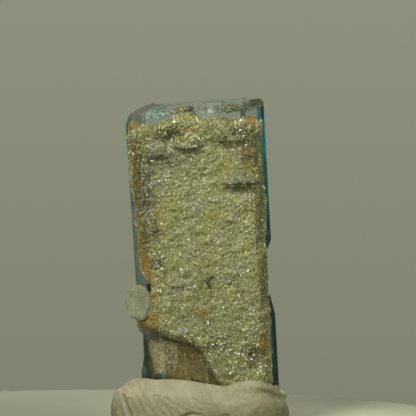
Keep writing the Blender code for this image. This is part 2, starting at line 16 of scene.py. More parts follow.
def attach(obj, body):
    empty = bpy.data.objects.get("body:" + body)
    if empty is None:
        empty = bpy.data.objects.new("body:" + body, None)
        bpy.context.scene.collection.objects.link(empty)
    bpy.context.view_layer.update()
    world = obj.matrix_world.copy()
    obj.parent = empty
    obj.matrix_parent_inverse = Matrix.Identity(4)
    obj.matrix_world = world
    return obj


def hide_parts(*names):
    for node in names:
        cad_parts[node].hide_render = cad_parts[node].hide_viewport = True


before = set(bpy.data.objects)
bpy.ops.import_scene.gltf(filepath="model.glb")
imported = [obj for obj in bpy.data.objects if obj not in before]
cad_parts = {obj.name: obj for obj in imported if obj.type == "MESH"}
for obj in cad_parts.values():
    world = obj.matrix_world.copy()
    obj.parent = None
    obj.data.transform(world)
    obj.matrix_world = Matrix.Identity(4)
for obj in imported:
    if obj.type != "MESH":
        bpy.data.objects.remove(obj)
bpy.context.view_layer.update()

LOG = logging.getLogger("specimen")
MM = 0.001
BODY = "root"
DRUSE = "muscovite_druse"
PUTTY = "mineral_putty"
PICTURE_PIXELS = 416
MICA_IOR = 1.58

Place = tuple[float, float]
Point = tuple[float, float, float]
Spot = tuple[float, float, float, float, float]
Shades = tuple[tuple[float, str], ...]
Tree = bpy.types.NodeTree
Socket = bpy.types.NodeSocket
Mesh = bpy.types.Mesh
Piece = bpy.types.Object
Grid = np.ndarray
Adder = Callable[..., Socket]


class Facing(Enum):
    """Which broad face of the prism a coat grows on, as the sign of Y."""

    FRONT = -1
    BACK = 1


def linear(hex_colour: str) -> tuple[float, float, float, float]:
    """Turn an sRGB colour into the linear one that sockets take.

    Args:
        hex_colour: Six hex digits, such as "8c8f70".

    Returns:
        Linear red, green and blue, with an alpha of 1.
    """
    shares = [int(hex_colour[k:k + 2], 16) / 255 for k in (0, 2, 4)]
    return (*(s / 12.92 if s <= 0.04045 else ((s + 0.055) / 1.055) ** 2.4 for s in shares), 1.0)


def feed(tree: Tree, socket: Socket, value: object) -> None:
    """Link a socket to another one, or set it to a plain value.

    Args:
        tree: Tree that holds the socket.
        socket: Input to feed.
        value: Another socket, or the value.
    """
    if isinstance(value, Socket):
        tree.links.new(value, socket)
    else:
        socket.default_value = value


def add_node(tree: Tree, kind: str, inputs: dict | tuple = (), **settings: object) -> Socket | None:
    """Add a node with its settings and links.

    Args:
        tree: Tree that takes the node.
        kind: Node type, where a shader node's goes without its "ShaderNode".
        inputs: Values or sockets to join, by input name or number, or in the order of the inputs.
        **settings: Properties of the node.

    Returns:
        The node's first output in use.
    """
    node = tree.nodes.new(kind if "Node" in kind else "ShaderNode" + kind)
    for name, value in settings.items():
        setattr(node, name, value)
    for key, value in inputs.items() if isinstance(inputs, dict) else enumerate(inputs):
        by_name = (s for s in node.inputs if s.name == key and s.enabled)
        feed(tree, node.inputs[key] if isinstance(key, int) else next(by_name), value)
    return next((s for s in node.outputs if s.enabled), None)


def shades_of(add: Adder, value: Socket, stops: Shades) -> Socket:
    """Colours along a value.

    Args:
        add: Adds a node to the tree.
        value: Socket with the value.
        stops: Value and hex colour of each stop.

    Returns:
        The colour socket.
    """
    colour = add("ValToRGB", (value,))
    elements = colour.node.color_ramp.elements
    while len(elements) < len(stops):
        elements.new(1.0)
    for element, (place, tint) in zip(elements, stops):
        element.position = place
        element.color = linear(tint)
    return colour


def smooth(value: Grid | float) -> Grid:
    """Smooth step from 0 at 0 to 1 at 1."""
    value = np.clip(value, 0.0, 1.0)
    return value * value * (3 - 2 * value)


def line_through(points: tuple[Place, ...], at: Grid) -> Grid:
    """Height of the line through the points, held level past its ends."""
    return np.interp(at, *zip(*points))


def noise_at(x: Grid, y: Grid, z: Grid, octaves: int = 0) -> Grid:
    """Blender's gradient noise at many places.

    Args:
        x: First coordinates.
        y: Second coordinates.
        z: Third coordinates.
        octaves: Layers of fractal noise, as the solids use it, or none for plain noise.

    Returns:
        Noise from about -1 to 1, in the shape of the coordinates.
    """
    grids = np.broadcast_arrays(x, y, z)
    places = zip(*(grid.ravel().tolist() for grid in grids))
    values = [noise.fractal(place, 0.6, 2.1, octaves) if octaves else noise.noise(place) for place in places]
    return np.array(values).reshape(grids[0].shape)


def spots_at(spots: tuple[Spot, ...], girth: Grid, height: Grid) -> Grid:
    """Sum of soft spots.

    Args:
        spots: Girth, height, reach along the girth, reach upwards and amount of each.
        girth: Ways round the prism, in millimetres.
        height: Heights above its foot, in millimetres.

    Returns:
        The sum at each place.
    """
    total = np.zeros_like(girth)
    for g, h, reach_g, reach_h, amount in spots:
        away = ((girth - g) / reach_g) ** 2 + ((height - h) / reach_h) ** 2
        total += np.where(away < 9, amount * np.exp(-np.minimum(away, 9)), 0.0)
    return total


def quads_of(number: Grid) -> list[list[int]]:
    """Four-sided faces between the rows and columns of a grid of point numbers."""
    corners = [number[:-1, :-1], number[:-1, 1:], number[1:, 1:], number[1:, :-1]]
    return np.stack(corners, -1).reshape(-1, 4).tolist()


def closed_mesh(name: str, points: Grid, faces: list[list[int]], **values: Grid) -> Mesh:
    """Make a closed mesh with its faces turned outwards.

    Args:
        name: Name of the mesh.
        points: Points in millimetres, with the coordinates last.
        faces: Point numbers of each face.
        **values: Attributes of the points.

    Returns:
        The mesh.
    """
    mesh = bpy.data.meshes.new(name)
    mesh.from_pydata((points.reshape(-1, 3) * MM).tolist(), [], faces)
    for key, value in values.items():
        mesh.attributes.new(key, "FLOAT", "POINT").data.foreach_set("value", value.ravel().astype(np.float32))
    bm = bmesh.new()
    bm.from_mesh(mesh)
    bmesh.ops.recalc_face_normals(bm, faces=bm.faces)
    return mesh_from(bm, mesh)


def mesh_from(bm: bmesh.types.BMesh, mesh: Mesh) -> Mesh:
    """Write a mesh under edit back to a mesh, and let the edit go.

    Args:
        bm: Mesh under edit.
        mesh: Mesh that takes it.

    Returns:
        The mesh.
    """
    bm.to_mesh(mesh)
    bm.free()
    return mesh


def loft_mesh(name: str, rings: Grid, **values: Grid) -> Mesh:
    """Make a smooth closed mesh through rings of points, with a flat face on each end ring.

    Args:
        name: Name of the mesh.
        rings: Points as rings, points of a ring and coordinates, in millimetres.
        **values: Attributes of the points.

    Returns:
        The mesh.
    """
    number = np.arange(rings.shape[0] * rings.shape[1]).reshape(rings.shape[:2])
    faces = quads_of(np.hstack([number, number[:, :1]])) + number[[0, -1]].tolist()
    mesh = closed_mesh(name, rings, faces, **values)
    mesh.shade_smooth()
    return mesh


def add_object(name: str, data: bpy.types.ID) -> Piece:
    """Put new data in the scene, at the origin.

    Args:
        name: Name of the object.
        data: Its mesh, light or camera.

    Returns:
        The object.
    """
    obj = bpy.data.objects.new(name, data)
    bpy.context.scene.collection.objects.link(obj)
    return obj


@dataclass(frozen=True)
class Finish:
    """How the surface of one mineral looks, under a name for the real stuff."""

    name: str

    def look(self, add: Adder) -> dict[str, object]:
        """Values and sockets for the shader's inputs, by name."""
        raise NotImplementedError

    def build(self) -> bpy.types.Material:
        """Make the material, with each plain value on the shader's own socket.

        Returns:
            The material.
        """
        material = bpy.data.materials.new(self.name)
        material.use_nodes = True
        tree = material.node_tree
        for key, value in self.look(partial(add_node, tree)).items():
            node = tree.nodes["Material Output" if key == "Volume" else "Principled BSDF"]
            feed(tree, node.inputs[key], value)
        return material


def add_piece(mesh: Mesh, finishes: tuple[Finish, ...], slot: str, *replaced: str) -> Piece:
    """Dress a mesh and ride it on the part's one body, as the piece of its name.

    Args:
        mesh: The piece's mesh.
        finishes: Finishes to add to it.
        slot: Name of a material slot; not used.
        *replaced: CAD nodes that it stands for.

    Returns:
        The piece.
    """
    for finish in finishes:
        mesh.materials.append(finish.build())
    piece = add_object(mesh.name, mesh)
    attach(piece, BODY)
    if replaced:
        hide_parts(*replaced)
    LOG.info("%s: %d faces", piece.name, len(mesh.polygons))
    return piece


@dataclass(frozen=True)
class Prism:
    """The aquamarine's section, taper and place, in millimetres, as the solids have them."""

    length: float = 25.7
    half_width: float = 5.86
    half_depth: float = 2.8
    foot_scale: float = 0.99
    top_scale: float = 1.006
    slope: float = math.radians(60)
    corner_rounding: float = 0.7
    foot: Point = (1.05, 0.0, 1.95)
    lean: float = math.radians(-3.4)

    @property
    def broad_half(self) -> float:
        """Half the width of a broad face."""
        return self.half_width - self.half_depth / math.tan(self.slope)

    @property
    def side_width(self) -> float:
        """Width of one of the four narrow faces."""
        return self.half_depth / math.sin(self.slope)

    @property
    def matrix(self) -> Matrix:
        """From the prism's frame to the row frame, both in millimetres."""
        return Matrix.Translation(self.foot) @ Matrix.Rotation(self.lean, 4, "Y")

    def point(self, girth: Grid, height: Grid, proud: Grid, facing: Facing) -> Grid:
        """Places that stand proud of the prism's faces.

        Args:
            girth: Way round the section from the middle of the broad face.
            height: Height above the foot, along the prism.
            proud: How far out from the face.
            facing: Which broad face.

        Returns:
            Points in the row frame, in millimetres, with the coordinates last.
        """
        girth, height, proud = np.broadcast_arrays(girth, height, proud)
        way = np.abs(girth)
        past = np.maximum(way - self.broad_half, 0.0)
        turn = self.slope * smooth(0.5 + (way - self.broad_half) / (2 * self.corner_rounding))
        scale = self.foot_scale + (self.top_scale - self.foot_scale) * height / self.length
        x = (np.minimum(way, self.broad_half) + past * math.cos(self.slope)) * scale + proud * np.sin(turn)
        y = (self.half_depth - past * math.sin(self.slope)) * scale + proud * np.cos(turn)
        local = np.stack([np.copysign(x, girth), facing.value * y, height, np.ones_like(x)], axis=-1)
        return (local @ np.array(self.matrix).T)[..., :3]


PRISM = Prism()
GAP = 0.05


@dataclass(frozen=True)
class CoatShape:
    """Outline and relief of one muscovite coat, in girth and height on the prism, in millimetres."""

    name: str
    facing: Facing
    seed: float
    top: tuple[Place, ...]
    bottom: tuple[Place, ...]
    left: tuple[Place, ...]
    right: tuple[Place, ...]
    swells: tuple[Spot, ...]
    ledges: tuple[Spot, ...]
    columns: tuple[int, int, int]
    rows: int
    thickness: float = 0.5
    thinnest: float = 0.15
    thickest: float = 1.25
    rim: float = 0.14
    rim_run: float = 0.55
    raggedness: float = 0.16
    nominal_side: float = 6.4

    def ragged(self, place: Grid, edge: int) -> Grid:
        """Unevenness of one edge of the coat.

        Args:
            place: Way along the edge.
            edge: Number of the edge, from 1 to 4.

        Returns:
            How far the edge is out or in.
        """
        seed = self.seed + edge
        return self.raggedness * (noise_at(place * 1.7, seed, 0.5) + noise_at(place * 4.1, seed, 9.0))

    def druse(self, girth: Grid, height: Grid) -> Grid:
        """Clusters of about a millimetre, and knobs a third of that.

        Args:
            girth: Ways round the prism, in millimetres.
            height: Heights above its foot, in millimetres.

        Returns:
            How far each place is out or in.
        """
        clusters = noise_at(girth * 0.85, height * 0.85, self.seed * 0.85, 3)
        knobs = noise_at(girth * 2.3 + 7, height * 2.3 + 3, self.seed * 2.3 + 1)
        return 0.12 * clusters + 0.06 * knobs

    def ledge_height(self, girth: Grid, height: Grid) -> Grid:
        """Sum of the ledges: full height just above each lip, none below it.

        Args:
            girth: Ways round the prism, in millimetres.
            height: Heights above its foot, in millimetres.

        Returns:
            How far each place is out.
        """
        total = np.zeros_like(girth)
        for g, lip, half_width, out, run in self.ledges:
            up = height - lip + 0.12 * noise_at(girth * 2.1, lip, 3.3)
            side = smooth(1.6 * (1 - np.abs(girth - g) / (half_width * 1.35)))
            inside = (up > 0) & (up < 4 * run)
            total += np.where(inside, out * side * np.exp(-np.clip(up, 0, 4 * run) / run), 0.0)
        return total

    def full_thickness(self, girth: Grid, height: Grid) -> Grid:
        """Thickness of the coat away from its rim."""
        total = self.thickness + self.druse(girth, height) + spots_at(self.swells, girth, height)
        return np.clip(total + self.ledge_height(girth, height), self.thinnest, self.thickest)

    def grid(self) -> tuple[Grid, Grid, Grid]:
        """Girth, height and thickness of the coat at each knot of its grid, rows first.

        Returns:
            The three grids, in millimetres.
        """
        broad = PRISM.broad_half
        parts = [np.linspace(0, 1, n, endpoint=False) for n in self.columns]
        section = np.concatenate([np.full(n, k) for k, n in enumerate(self.columns)] + [[2]])
        share = np.concatenate(parts + [[1.0]])
        stations = np.array([-self.nominal_side, -broad, broad, self.nominal_side])
        nominal = stations[section] + (stations[section + 1] - stations[section]) * share
        low = line_through(self.bottom, nominal) + self.ragged(nominal, 1)
        high = line_through(self.top, nominal) + self.ragged(nominal, 2)
        height = low + (high - low) * np.linspace(0, 1, self.rows + 1)[:, None]
        left_end = line_through(self.left, height) + self.ragged(height, 3)
        right_end = line_through(self.right, height) + self.ragged(height, 4)
        level = np.full_like(height, broad)
        ends = np.stack([left_end, -level, level, right_end])
        start = np.take_along_axis(ends, section[None, None, :].repeat(len(height), 1), 0)[0]
        end = np.take_along_axis(ends, section[None, None, :].repeat(len(height), 1) + 1, 0)[0]
        girth = start + (end - start) * share
        inside = np.minimum.reduce([girth - left_end, right_end - girth, height - low, high - height])
        full = self.full_thickness(girth, height)
        return girth, height, self.rim + (full - self.rim) * smooth(inside / self.rim_run)


FRONT_COAT = CoatShape(
    name="muscovite_front",
    facing=Facing.FRONT,
    seed=20.0,
    top=((-6.9, 24.0), (-5.9, 24.45), (-5.2, 24.1), (-4.5, 24.25), (-3.7, 24.05), (-2.3, 24.45),
         (-1.1, 24.95), (-0.4, 25.0), (0.2, 24.5), (1.6, 24.3), (2.2, 24.5), (3.2, 24.2), (4.2, 24.35),
         (5.2, 24.3), (6.3, 23.8), (6.9, 23.3)),
    bottom=((-6.7, 6.45), (-5.1, 6.75), (-4.0, 6.5), (-2.8, 5.9), (-1.1, 5.35), (-0.3, 4.3), (-0.1, 3.5),
            (0.6, 2.2), (1.1, 1.35), (2.1, 1.2), (6.0, 1.2)),
    left=((6.4, -7.0), (7.6, -7.1), (8.2, -5.4), (8.9, -4.8), (9.9, -4.75), (10.15, -4.42), (10.7, -4.42),
          (10.95, -5.0), (11.4, -5.4), (11.9, -5.85), (12.6, -6.05), (14.3, -6.15), (15.9, -6.35),
          (17.2, -6.1), (18.0, -6.7), (21.0, -6.8), (24.5, -6.5)),
    right=((1.2, 5.8), (3.6, 5.85), (6.1, 6.1), (8.2, 6.1), (9.6, 5.9), (11.2, 6.1), (13.2, 6.0), (15.8, 6.4),
           (17.1, 6.65), (18.0, 6.3), (20.5, 6.0), (23.3, 6.1)),
    swells=(
        (2.1, 23.3, 0.75, 0.75, 0.4), (3.65, 23.5, 0.4, 0.6, 0.34), (5.1, 23.5, 0.8, 0.7, 0.36),
        (-1.8, 24.4, 1.2, 0.5, 0.2),
        (0.0, 22.8, 0.9, 0.55, 0.26), (-4.9, 23.4, 0.8, 0.6, 0.14), (2.9, 21.3, 0.9, 0.5, 0.12),
        (-3.0, 15.9, 0.7, 0.7, 0.12), (-3.5, 13.3, 0.35, 0.8, 0.2), (-0.4, 5.5, 0.9, 0.5, 0.24),
        (0.4, 3.9, 0.5, 0.6, 0.18), (1.8, 3.5, 0.55, 1.3, 0.28), (-3.7, 7.5, 0.6, 0.6, 0.14),
        (1.0, 7.6, 1.5, 0.8, 0.12), (3.6, 11.6, 1.1, 1.4, 0.12), (-1.2, 12.0, 1.4, 1.6, 0.08),
        (-2.5, 22.9, 0.9, 0.8, -0.3), (-4.8, 19.8, 0.4, 2.8, -0.24), (5.1, 15.6, 0.55, 1.9, -0.26),
        (3.6, 18.2, 1.3, 0.45, -0.26), (-3.9, 14.3, 0.4, 1.1, -0.18), (3.75, 4.0, 0.7, 1.1, -0.3),
        (0.4, 19.6, 1.3, 1.3, -0.1), (-0.6, 8.9, 0.7, 0.5, -0.12), (4.9, 21.2, 0.5, 1.2, -0.16),
    ),
    ledges=((-0.7, 22.05, 0.95, 0.46, 0.8), (3.6, 18.8, 1.3, 0.46, 0.9), (3.0, 22.45, 1.2, 0.4, 0.9),
            (-3.3, 21.5, 0.6, 0.26, 0.6), (1.4, 5.9, 0.8, 0.2, 0.6), (-2.2, 10.4, 0.9, 0.16, 0.7)),
    columns=(16, 88, 20),
    rows=216,
)

BACK_COAT = CoatShape(
    name="muscovite_back",
    facing=Facing.BACK,
    seed=50.0,
    top=((-6.4, 22.6), (-4.6, 23.4), (-3.2, 22.7), (-2.2, 20.6), (-1.0, 18.4), (0.2, 16.8), (1.1, 15.8),
         (2.0, 16.4), (2.9, 19.5), (3.5, 23.2), (4.0, 24.9), (5.2, 25.1), (6.4, 24.4)),
    bottom=((-6.4, 3.5), (-4.4, 3.35), (-3.5, 3.2), (-3.0, 1.9), (-2.4, 1.2), (4.0, 1.2), (6.4, 1.6)),
    left=((1.2, -5.4), (3.3, -5.7), (3.9, -6.1), (4.8, -6.0), (5.7, -5.1), (6.6, -4.9), (9.0, -5.6),
          (13.0, -6.1), (18.0, -5.6), (23.0, -5.9)),
    right=((1.2, 5.4), (4.0, 5.7), (7.0, 5.2), (10.0, 5.9), (13.0, 5.5), (16.5, 6.0), (20.0, 5.6),
           (24.5, 5.9)),
    swells=(
        (-3.4, 20.4, 1.3, 1.2, 0.36), (-5.0, 16.2, 0.8, 1.2, 0.2), (-1.6, 14.0, 1.6, 1.3, 0.34),
        (2.8, 11.2, 1.5, 0.9, 0.36), (-2.9, 8.2, 1.2, 1.0, 0.3), (1.2, 5.4, 1.5, 1.1, 0.3),
        (-3.4, 3.6, 0.9, 0.8, 0.2), (4.6, 6.8, 0.8, 1.2, 0.2), (0.2, 10.4, 1.0, 1.2, -0.25),
        (-4.3, 11.9, 0.6, 1.0, -0.22), (3.2, 3.2, 0.9, 0.7, -0.2), (-0.8, 17.0, 0.6, 0.7, -0.15),
        (4.7, 20.5, 0.7, 1.4, 0.25), (4.9, 23.6, 0.6, 0.8, 0.22), (4.0, 17.6, 0.8, 0.8, 0.26),
    ),
    ledges=((-3.2, 19.0, 1.3, 0.36, 1.0), (-1.4, 12.4, 1.5, 0.34, 1.0), (3.0, 10.1, 1.4, 0.34, 0.9),
            (-2.8, 6.9, 1.2, 0.3, 0.9), (1.2, 4.2, 1.3, 0.28, 0.9)),
    columns=(14, 72, 14),
    rows=150,
)


@dataclass(frozen=True)
class Tints:
    """Where a coat is stained, yellow, painted with shade or coarse: soft spots on the prism, in millimetres.
    """

    rust: tuple[Spot, ...] = ()
    gold: tuple[Spot, ...] = ()
    # Painted shade: hollows, the places under ledges and faces turned from the light.
    deep: tuple[Spot, ...] = ()
    coarse: tuple[Spot, ...] = ()


FRONT_TINTS = Tints(
    rust=((-5.3, 14.2, 0.3, 0.6, 1.5), (-5.3, 13.2, 0.35, 0.9, 1.9), (-4.5, 11.8, 0.2, 0.4, 1.3),
          (-4.35, 11.1, 0.22, 0.4, 1.2), (-4.35, 10.2, 0.22, 0.5, 1.3), (-4.35, 9.5, 0.24, 0.5, 1.6),
          (-4.4, 8.9, 0.2, 0.5, 1.1), (-5.0, 8.5, 0.3, 0.35, 1.5), (-5.6, 8.0, 0.4, 0.35, 1.8),
          (-5.8, 7.4, 0.5, 0.35, 1.8), (-5.2, 7.1, 0.5, 0.35, 1.8), (-4.5, 7.1, 0.3, 0.4, 1.5),
          (-4.2, 7.8, 0.25, 0.4, 0.7), (-5.9, 24.1, 0.4, 0.3, 1.1), (-4.9, 24.1, 0.5, 0.25, 1.0),
          (-5.8, 23.0, 0.4, 0.8, 0.6), (-5.7, 21.5, 0.5, 1.2, 0.6), (-5.6, 18.8, 0.5, 1.4, 0.5),
          (-0.5, 23.6, 0.8, 0.22, 0.8), (4.2, 23.7, 0.25, 0.35, 1.0), (4.7, 24.1, 0.35, 0.25, 1.2),
          (5.4, 23.8, 0.3, 0.3, 0.7), (3.9, 22.0, 0.3, 1.0, 0.5), (4.1, 20.7, 0.3, 0.8, 0.5),
          (3.9, 19.5, 0.25, 0.5, 0.45), (-0.2, 7.7, 0.6, 0.4, 0.65), (-0.6, 8.3, 0.7, 0.5, 0.5),
          (-5.4, 16.6, 0.35, 1.6, 0.5), (-5.2, 20.2, 0.35, 1.2, 0.5), (-4.9, 12.4, 0.3, 0.6, 0.8),
          (3.0, 9.8, 1.2, 1.2, 0.2), (1.9, 14.4, 0.6, 0.8, 0.2), (4.6, 4.9, 0.35, 0.8, 0.9),
          (4.4, 5.5, 0.3, 0.4, 0.8), (-0.2, 4.5, 0.3, 0.3, 0.4), (-4.7, 13.5, 0.35, 1.3, 1.5),
          (-4.45, 12.2, 0.3, 0.6, 1.2), (-4.5, 7.6, 0.6, 0.6, 1.2)),
    gold=((-3.0, 15.9, 0.7, 0.8, 0.7), (1.4, 16.4, 0.9, 0.6, 0.8), (2.6, 20.4, 0.8, 0.8, 0.7),
          (-3.3, 17.2, 0.7, 1.0, 0.6), (0.9, 3.2, 0.6, 1.4, 0.7), (2.5, 23.2, 1.0, 0.8, 0.4),
          (-1.0, 24.6, 1.0, 0.4, 0.6), (-5.5, 18.8, 0.5, 2.0, 0.5), (0.3, 13.0, 2.5, 2.0, 0.15),
          (5.4, 21.5, 0.6, 0.6, 0.8), (2.6, 17.6, 0.8, 0.6, 0.4)),
    # Painted shade in hollows, under ledges and on the lower, less lit part of the coat.
    deep=((-5.0, 20.0, 1.0, 3.4, 0.35), (-4.9, 15.5, 0.8, 2.6, 0.4), (5.2, 19.0, 0.7, 4.0, 0.1),
          (-1.6, 23.3, 0.8, 0.5, 0.9), (-2.5, 22.7, 0.7, 0.5, 0.6), (-4.4, 20.3, 0.45, 1.6, 1.0),
          (-4.3, 17.9, 0.4, 1.3, 1.0), (-2.8, 21.2, 1.0, 0.6, 0.7), (-1.6, 20.9, 0.6, 0.4, 0.4),
          (-1.4, 22.0, 1.3, 0.22, 0.9), (-0.3, 21.75, 0.7, 0.22, 1.0), (3.0, 18.45, 0.9, 0.4, 0.5),
          (3.9, 18.5, 0.6, 0.4, 0.5), (5.4, 17.4, 0.4, 0.5, 0.4), (5.5, 15.2, 0.4, 0.8, 0.3),
          (-5.2, 22.0, 0.6, 1.6, 0.45), (-5.3, 18.6, 0.6, 2.2, 0.6), (-4.6, 14.6, 0.5, 1.2, 0.6),
          (1.6, 23.7, 0.9, 0.6, 0.5), (3.3, 23.6, 1.3, 0.7, 0.5), (-3.2, 23.5, 1.3, 0.6, 0.35),
          (0.0, 8.0, 6.0, 5.0, 0.22), (0.0, 4.0, 6.0, 3.0, 0.15),
          (-3.8, 15.2, 0.35, 0.8, 0.9), (-3.6, 13.2, 0.4, 0.9, 0.5), (3.7, 4.2, 0.6, 1.0, 1.0),
          (2.2, 22.6, 0.7, 0.4, 0.8), (3.4, 22.9, 0.4, 0.5, 0.7), (4.0, 21.4, 0.45, 1.5, 0.8),
          (4.8, 19.9, 0.5, 0.9, 0.35), (-4.0, 12.2, 0.4, 0.5, 0.5), (0.6, 10.4, 0.4, 0.3, 0.3),
          (-0.2, 5.2, 0.4, 0.3, 0.6), (5.0, 10.5, 0.5, 2.0, 0.4), (-5.4, 22.4, 0.3, 0.6, 0.4),
          (-3.6, 21.3, 1.2, 1.3, 0.45), (-3.9, 19.0, 0.7, 2.2, 0.35), (3.1, 19.3, 0.6, 0.6, 0.4),
          (3.9, 19.3, 0.9, 0.8, 0.35), (1.1, 4.6, 0.8, 1.6, 0.3)),
    coarse=((-2.0, 23.6, 2.6, 1.2, 1.0), (3.4, 23.0, 2.0, 1.4, 1.0), (4.8, 18.4, 1.0, 2.2, 0.8),
            (-4.0, 12.5, 0.8, 1.6, 0.8), (0.6, 5.0, 2.0, 1.2, 0.8), (3.6, 3.8, 1.4, 1.6, 0.9),
            (-4.6, 8.0, 1.0, 1.0, 0.6), (-5.0, 21.0, 0.8, 2.4, 0.6)),
)

BACK_TINTS = Tints(
    rust=((-5.2, 21.0, 0.5, 1.6, 0.7), (-1.6, 12.6, 1.0, 0.3, 0.5), (3.4, 10.3, 0.9, 0.3, 0.6),
          (-4.6, 5.4, 0.5, 1.0, 0.6), (2.0, 14.4, 0.8, 0.4, 0.6), (4.9, 4.0, 0.4, 1.2, 0.5)),
    gold=((-3.0, 19.0, 1.2, 1.2, 0.6), (0.5, 8.0, 2.0, 2.0, 0.4), (3.4, 6.0, 1.0, 1.6, 0.6)),
    # Painted shade in hollows and under ledges.
    deep=((0.2, 10.4, 1.0, 1.0, 0.8), (-4.3, 11.9, 0.6, 1.0, 0.7), (-3.2, 18.8, 1.2, 0.3, 0.8),
          (3.0, 9.8, 1.3, 0.3, 0.8), (-2.8, 6.6, 1.2, 0.3, 0.8), (1.2, 3.9, 1.2, 0.3, 0.7)),
    coarse=((-1.0, 13.0, 3.0, 3.0, 0.8), (2.0, 5.0, 3.0, 2.5, 0.7), (-3.0, 21.0, 2.0, 2.0, 0.9)),
)


GLINTS = (
    (-2.0, 22.75, 0.11, 0.75), (-3.75, 21.1, 0.13, 0.55), (-3.9, 21.4, 0.09, 0.5), (4.2, 23.6, 0.12, 0.8),
    (5.6, 23.9, 0.1, 0.7), (1.3, 23.75, 0.11, 0.6), (1.05, 23.1, 0.08, 0.6), (4.0, 22.0, 0.1, 0.6),
    (0.7, 19.9, 0.08, 0.55), (5.2, 15.5, 0.11, 0.5), (5.5, 18.3, 0.1, 0.6), (0.0, 18.2, 0.07, 0.55),
    (-3.6, 13.4, 0.12, 0.75), (-3.4, 13.0, 0.13, 0.8), (-3.2, 12.6, 0.1, 0.75), (-3.55, 12.0, 0.12, 0.7),
    (2.1, 10.6, 0.09, 0.65), (3.6, 3.9, 0.11, 0.6), (4.5, 3.2, 0.1, 0.6), (0.1, 4.5, 0.1, 0.7),
    (1.9, 3.0, 0.12, 0.75), (0.9, 6.0, 0.1, 0.65), (2.9, 25.2, 0.07, 0.03), (2.95, 25.0, 0.06, 0.03),
    (-2.4, 20.1, 0.08, 0.6), (-1.6, 17.0, 0.08, 0.6), (1.2, 14.3, 0.07, 0.6), (-0.4, 13.2, 0.08, 0.6),
    (3.2, 13.0, 0.07, 0.6), (-2.0, 8.6, 0.09, 0.65), (1.5, 8.4, 0.08, 0.65), (3.9, 8.0, 0.08, 0.6),
)


def upright_place(add: Adder) -> Socket:
    """Object coordinates turned into the prism's own frame, so that its length is along Z.

    Args:
        add: Adds a node to the material.

    Returns:
        The vector socket.
    """
    place = add("TexCoord").node.outputs["Object"]
    return add("Mapping", {"Vector": place, "Location": Vector(PRISM.foot) * MM,
                           "Rotation": (0, PRISM.lean, 0)}, vector_type="TEXTURE")


@dataclass(frozen=True)
class MicaFinish(Finish):
    """Muscovite druse: olive to silvery flakes with a glassy lustre, a few of them painted near white as
    glints.

    Each flake has a shade of its own. Iron oxide stains it orange-brown, and hollows and the places under
    ledges get a painted shade.
    """

    # The near-white top of the ramp is a painted glint on the brightest few flakes.
    shades: Shades = ((0.0, "36391d"), (0.35, "666934"), (0.75, "93955c"), (0.92, "b6b88a"), (0.97, "e6e6dc"))
    gold: str = "8f8b40"
    silver: str = "8a8c6c"
    rust: str = "82680a"
    # Colour of the painted shade.
    dark: str = "42420a"
    shade: float = 1.0
    roughness: float = 0.24
    per_flake: bool = True

    def look(self, add: Adder) -> dict[str, object]:
        """Mix the tints by the coat's rust, gold, painted shade and tone attributes.

        Args:
            add: Adds a node to the material.

        Returns:
            Values and sockets for the shader's inputs.
        """
        rust, gold, deep, tone = (add("Attribute", attribute_name=name).node.outputs["Fac"]
                                  for name in ("rust", "gold", "deep", "tone"))
        place = add("TexCoord").node.outputs["Object"]
        drawn = add("Mapping", {"Vector": place, "Scale": (1, 1, 0.5)})
        # Patches of warmer and cooler mica a millimetre or two across, fine grain, and upright veins.
        patches, grain, veins = (
            add("TexNoise", {"Vector": at, "Scale": per_mm / MM, "Detail": detail})
            for at, per_mm, detail in ((place, 0.55, 3), (place, 6, 2), (drawn, 3.6, 3)))
        tone = tone if self.per_flake else grain
        # Each row maps a value from one range to another.
        warm, cool, specks, mottle, between, light, rough = (add("MapRange", row) for row in (
            (patches, 0.45, 0.65, 0, 0.55), (patches, 0.44, 0.32, 0, 0.6), (veins, 0.4, 0.6, 0.1, 2),
            (veins, 0.4, 0.6, 1.6, 0.6), (tone, 0.7, 1, 0.85, 0.25), (tone, 0, 1, 0.35, 1.3),
            (tone, 0, 1, self.roughness + 0.16, self.roughness - 0.08)))
        golden = add("Math", (gold, warm), operation="ADD", use_clamp=True)
        # A weak stain takes some flakes and leaves the ones beside them clean.
        chance = add("TexWhiteNoise", {"W": tone}, noise_dimensions="1D") if self.per_flake else tone
        stained, clean, broken = (add("Math", pair, operation="MULTIPLY")
                                  for pair in ((rust, specks), (chance, 0.6), (deep, mottle)))
        stained = add("MapRange", (add("Math", (stained, clean), operation="SUBTRACT"), 0, 0.3))
        # Painted shade, broken up by the veins and lighter on the brightest flakes.
        painted_shade_share = add("Math", (broken, between), operation="MULTIPLY", use_clamp=True)
        colour = shades_of(add, tone, self.shades)
        for share, tint in ((cool, self.silver), (golden, self.gold), (stained, self.rust),
                            (painted_shade_share, self.dark)):
            varied = add("VectorMath", {0: linear(tint)[:3], "Scale": light}, operation="SCALE")
            colour = add("Mix", {0: share, 6: colour, 7: varied}, data_type="RGBA")
        for share, dull in ((stained, 0.7), (painted_shade_share, 0.65)):
            rough = add("Mix", {0: share, 2: rough, 3: dull})
        colour = add("VectorMath", {0: colour, "Scale": self.shade}, operation="SCALE")
        return {"Base Color": colour, "Roughness": rough, "IOR": MICA_IOR}


